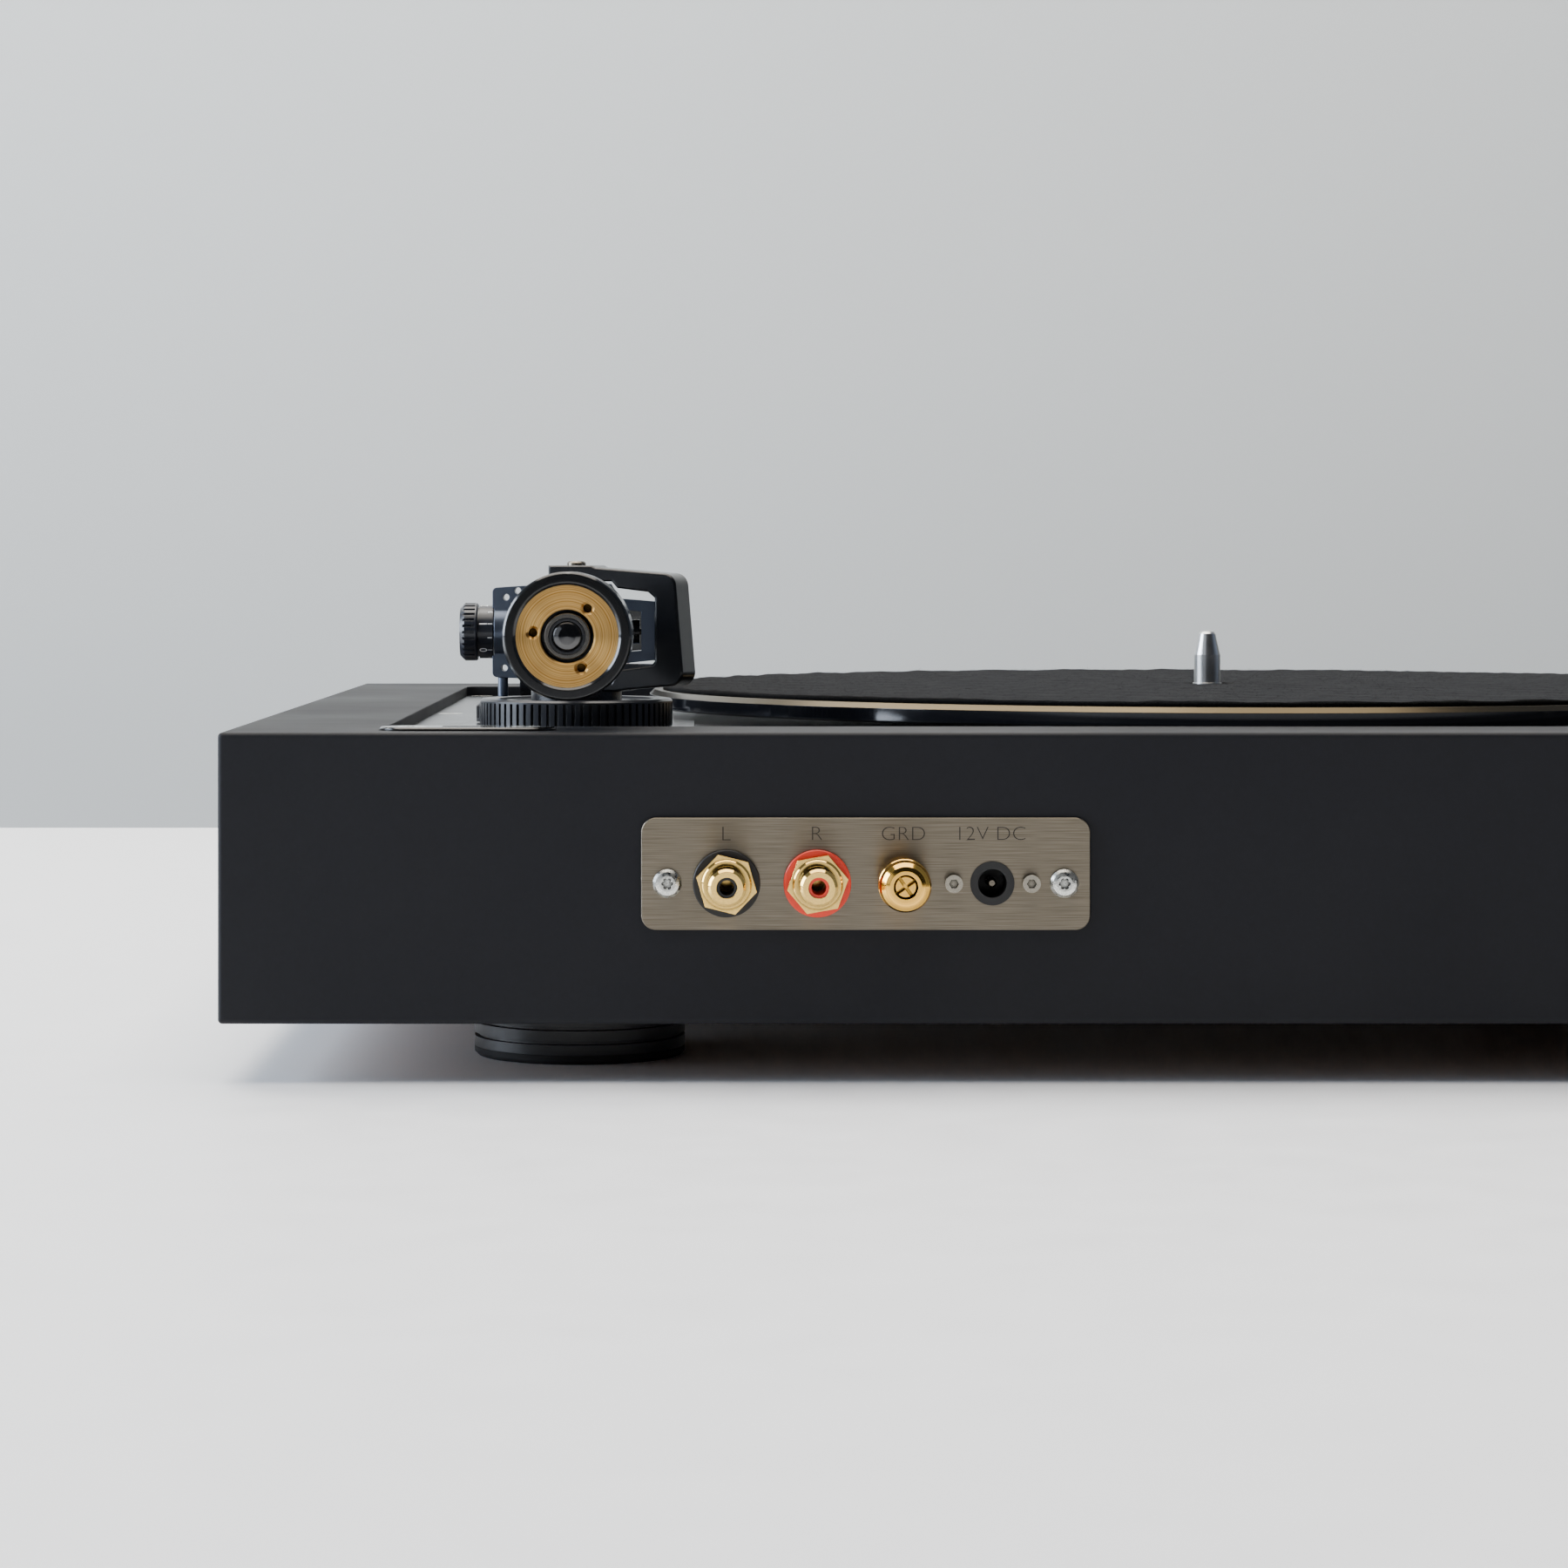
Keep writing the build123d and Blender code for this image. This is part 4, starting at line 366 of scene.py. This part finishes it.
dress(lacquer, "plinth_body")
dress(fibreboard, "base_board")
dress(powder, "top_plate", "arm_base_plate")
dress(zinc, "panel_screws", "connector_screws", "foot_screws")
dress(cap_steel, "dc_jack_screws")
dress(moulded, "feet", "speed_knob", "antiskate_knob", "arm_rest", "arm_clip", "speed_switch")
dress(rubber, "foot_pads")
dress(belt_rubber, "drive_belt")
dress(hinge_enamel, "cover_hinge_plates")
dress(brushed, "connector_plate")
dress(gold, "phono_sockets", "socket_rear_nuts", "socket_contacts")
dress(gold_nut, "ground_post", "ground_thumb_nut")
dress(black_nylon, "dc_jack", "left_socket_washer", "left_socket_insulator")
dress(red_nylon, "right_socket_washer", "right_socket_insulator")
dress(jack_plastic, "cartridge")
dress(sheet_zinc, "drive_bridge")
dress(turned_aluminium, "bearing_housing", "sub_platter")
dress(bronze, "bearing_bushes")
dress(spindle_steel, "spindle")
dress(ball_steel, "thrust_ball")
dress(platter_finish(), "platter")
dress(motor_steel, "motor_can")
dress(pulley_brass, "motor_pulley")
dress(board_green, "circuit_board")
dress(ring_plastic, "height_ring", "height_collar")
dress(anodised, "arm_pillar", "cue_housing", "cue_lift", "cue_lever", "headshell", "arm_block")
dress(gloss_enamel, "gimbal_frame")
dress(yoke_painted_reflection, "gimbal_yoke")
dress(dial_plastic, "force_dial")
# The jack's centre pin takes this darker steel so that it stays dim inside its socket: painted shade.
dress(blued, "pivot_screws", "side_bearing_screws", "dc_jack_pin")
dress(tube_aluminium, "arm_tube")
dress(sleeve_steel, "counterweight_sleeve")
dress(brass, "counterweight_brass")
dress(drum_gloss, "counterweight_drum")
dress(dome_gloss, "stub_plug")
dress(amber, "stylus")


# ------------------------------------------------------------------ felt mat
felt = surface(
    "black_wool_felt", "0D0D0E", 1.0, ior=1.2, second="1B1B1C", patch=12.0, grain=0.4, bump=0.35,
    edge=0.4, sheen=0.03,
)
fibre_felt = surface(
    "loose_wool_fibres", "0E0E0F", 1.0, ior=1.2, second="2B2B2C", grain=2.5, bump=0.0, edge=0.0,
    sheen=0.03, wear=0.25,
)


def felt_disc():
    """The mat as cut: a disc with the spindle hole, its faces slightly uneven."""
    low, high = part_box("felt_mat")
    outer = (high.x - low.x) / 2
    inner = MAT_HOLE
    rings, steps = 40, 360
    bm = bmesh.new()
    profile = [(inner + (outer - inner) * i / rings, 1.0) for i in range(rings + 1)]
    profile[-1] = (outer - 0.0004, 1.0)
    profile += [(outer, 0.72), (outer, 0.3), (outer - 0.0004, 0.0)]
    profile += [(outer - (outer - inner) * i / 12, 0.0) for i in range(1, 13)]
    loops = []
    for radius, share in profile:
        loop = []
        for k in range(steps):
            turn = 2 * pi * k / steps
            spot = Vector((hub[0] + radius * cos(turn), hub[1] + radius * sin(turn), 0))
            ripple = 0.00016 * (sin(spot.x * 610) * cos(spot.y * 530) - sin(spot.x * 190 + spot.y * 260))
            wave = ripple - 0.00022 if share == 1.0 else 0.0
            spot.z = low.z + 0.00002 + (high.z - low.z) * share + wave
            loop.append(bm.verts.new(spot))
        loops.append(loop)
    for first, second in zip(loops, loops[1:] + loops[:1]):
        for k in range(steps):
            j = (k + 1) % steps
            bm.faces.new((first[k], second[k], second[j], first[j]))
    bmesh.ops.recalc_face_normals(bm, faces=bm.faces)
    mesh = bpy.data.meshes.new("felt_sheet")
    bm.to_mesh(mesh)
    bm.free()
    mesh.polygons.foreach_set("use_smooth", [True] * len(mesh.polygons))
    return mesh, outer


def fibre_mesh():
    """One loose fibre: a thin curled ribbon 1.6 mm long."""
    bm = bmesh.new()
    rows = []
    for i in range(5):
        t = i / 4
        spot = Vector(((t - 0.5) * 0.0016, 0.00022 * sin(t * 4.0), 0.0003 * sin(t * pi * 0.9)))
        half = 0.000014
        rows.append([bm.verts.new(spot + Vector((0, s * half, half * 0.5))) for s in (-1, 1)])
    for first, second in zip(rows, rows[1:]):
        bm.faces.new((first[0], second[0], second[1], first[1]))
    mesh = bpy.data.meshes.new("fibre")
    bm.to_mesh(mesh)
    bm.free()
    return mesh


def scattered(target, source, density, seed, finish):
    """Copies of source spread over target's faces, turned at random, as one real mesh."""
    tree = bpy.data.node_groups.new("fibres", "GeometryNodeTree")
    tree.interface.new_socket("Geometry", in_out="INPUT", socket_type="NodeSocketGeometry")
    tree.interface.new_socket("Geometry", in_out="OUTPUT", socket_type="NodeSocketGeometry")
    given = node(tree, "NodeGroupInput").outputs[0]
    spots = node(
        tree, "GeometryNodeDistributePointsOnFaces", {}, {"Mesh": given, "Density": density, "Seed": seed}
    )
    thing = node(tree, "GeometryNodeObjectInfo", {}, {"Object": source}).outputs["Geometry"]
    span = {"Min": (-0.75, -0.75, 0.0), "Max": (0.75, 0.75, 2 * pi), "Seed": seed + 1}
    spin = node(tree, "FunctionNodeRandomValue", {"data_type": "FLOAT_VECTOR"}, span).outputs["Value"]
    span = {2: 0.5, 3: 1.35, "Seed": seed + 2}
    size = node(tree, "FunctionNodeRandomValue", {"data_type": "FLOAT"}, span).outputs[1]
    tilt = node(
        tree, "FunctionNodeRotateRotation", {"rotation_space": "LOCAL"},
        {"Rotation": spots.outputs["Rotation"], "Rotate By": spin},
    ).outputs[0]
    copies = node(
        tree, "GeometryNodeInstanceOnPoints", {},
        {"Points": spots.outputs["Points"], "Instance": thing, "Rotation": tilt, "Scale": size},
    ).outputs[0]
    real = node(tree, "GeometryNodeRealizeInstances", {}, {0: copies}).outputs[0]
    done = node(tree, "GeometryNodeSetMaterial", {}, {"Geometry": real, "Material": finish}).outputs[0]
    node(tree, "NodeGroupOutput", {}, {0: done})
    work = target.modifiers.new("fibres", "NODES")
    work.node_group = tree
    bpy.context.view_layer.update()
    graph = bpy.context.evaluated_depsgraph_get()
    mesh = bpy.data.meshes.new_from_object(target.evaluated_get(graph))
    target.modifiers.remove(work)
    return mesh


disc, mat_outer = felt_disc()
mat = piece("felt_sheet", disc, felt, "platter_assembly")
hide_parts("felt_mat")
seed_fibre = bpy.data.objects.new("fibre", fibre_mesh())
bpy.context.scene.collection.objects.link(seed_fibre)
fibres = piece(
    "felt_fibres", scattered(mat, seed_fibre, 160000.0, 7, fibre_felt),
    fibre_felt, "platter_assembly",
)
bpy.data.objects.remove(seed_fibre)

# ------------------------------------------------------------------ lettering
plate_low, plate_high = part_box("connector_plate")
text_z = (plate_low.z + plate_high.z) / 2 + 9.0 * MM
text_y = plate_high.y + 0.015 * MM
face_rear = Matrix(((-1, 0, 0, 0), (0, 0, 1, 0), (0, 1, 0, 0), (0, 0, 0, 1)))
left_low, left_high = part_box("left_socket_washer")
right_low, right_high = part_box("right_socket_washer")
labels = (
    ("L", (left_low.x + left_high.x) / 2),
    ("R", (right_low.x + right_high.x) / 2),
    ("GRD", middle("ground_post").x),
    ("12V DC", middle("dc_jack_pin").x),
)
parts = []
for text, x in labels:
    wide = Matrix.Diagonal((1.08, 1.0, 1.0, 1.0))
    seat = Matrix.Translation((x, text_y, text_z)) @ face_rear @ wide
    parts.append((letters(text, 3.0, -0.022), seat))
piece("plate_labels", joined("plate_labels", parts), engraving, "chassis")

drum_radius = 6.46 * MM
sideways = face_rear @ Matrix.Rotation(radians(90), 4, "Z")
marks = []
for k in range(12):
    about = Matrix.Translation(pivot) @ Matrix.Rotation(radians(-42.0 + 30.0 * k), 4, "X")
    seat = about @ Matrix.Translation((20.7 * MM, drum_radius, 0)) @ sideways
    marks.append((letters("I", 1.1, 0.02), seat))
    if k % 2 == 0:
        seat = about @ Matrix.Translation((22.35 * MM, drum_radius, 0)) @ sideways
        marks.append((letters(str(k // 2), 1.9, 0.012), seat))
piece("dial_scale", joined("dial_scale", marks), white_print, "force_dial")

# ------------------------------------------------------------------ stage, lights, camera
table_stuff = surface("pale_laminate", "F1F2F4", 0.5, second="F3F4F5", bump=0.0, edge=0.0)
wall_stuff = surface("pale_grey_wall", "D0D4D4", 0.9, second="D2D5D5", bump=0.0, edge=0.0)


def plane(name, corners, mat):
    """A flat stage piece."""
    mesh = bpy.data.meshes.new(name)
    mesh.from_pydata(corners, [], [(0, 1, 2, 3)])
    mesh.materials.append(mat)
    obj = bpy.data.objects.new(name, mesh)
    bpy.context.scene.collection.objects.link(obj)
    return obj


plane("table", [(-3, -0.683, 0), (3, -0.683, 0), (3, 3, 0), (-3, 3, 0)], table_stuff)
plane("wall", [(-6, -1.6, -2), (-6, -1.6, 4), (6, -1.6, 4), (6, -1.6, -2)], wall_stuff)


def area_light(name, place, target, wide, tall, watts, code):
    """A soft rectangular light that faces a point."""
    data = bpy.data.lights.new(name, "AREA")
    data.shape = "RECTANGLE"
    data.size = wide
    data.size_y = tall
    data.energy = watts
    data.color = linear(code)[:3]
    light = bpy.data.objects.new(name, data)
    light.location = place
    light.rotation_mode = "QUATERNION"
    light.rotation_quaternion = (Vector(target) - Vector(place)).to_track_quat("-Z", "Y")
    bpy.context.scene.collection.objects.link(light)
    return light


area_light("window", (2.1, 0.25, 0.75), (0, 0, 0.05), 1.3, 1.3, 104.0, "DCE7F6")
area_light("ceiling", (0.2, -0.1, 2.2), (0, -0.1, 0), 2.6, 2.2, 96.0, "F8EFE2")
area_light("room", (1.5, 2.4, 0.9), (0, 0, 0.1), 0.7, 1.6, 4.0, "E4EAF4")
area_light("wall_wash", (0.8, -0.6, 1.9), (0, -1.6, 0.3), 2.0, 0.6, 37.0, "F2EFE9")

world = bpy.data.worlds.new("studio")
bpy.context.scene.world = world
world.use_nodes = True
sky = world.node_tree
backdrop = sky.nodes["Background"]
way = node(sky, "ShaderNodeTexCoord").outputs["Generated"]
depth = node(sky, "ShaderNodeSeparateXYZ", {}, {0: way}).outputs["Y"]
behind = spread(sky, depth, 0.0, 1.0, -0.25, 0.55)
sky.links.new(blend(sky, behind, linear("B2C1DE"), linear("33373F")), backdrop.inputs["Color"])
backdrop.inputs["Strength"].default_value = 0.7

lens = bpy.data.cameras.new("camera")
lens.lens = 89.2
lens.sensor_width = 36.0
lens.shift_x = 0.053
lens.shift_y = -0.136
lens.clip_start = 0.05
lens.clip_end = 20.0
camera = bpy.data.objects.new("camera", lens)
camera.location = (0.1147, 1.049, 0.1146)
camera.rotation_euler = (radians(90), 0, radians(180))
bpy.context.scene.collection.objects.link(camera)
bpy.context.scene.camera = camera
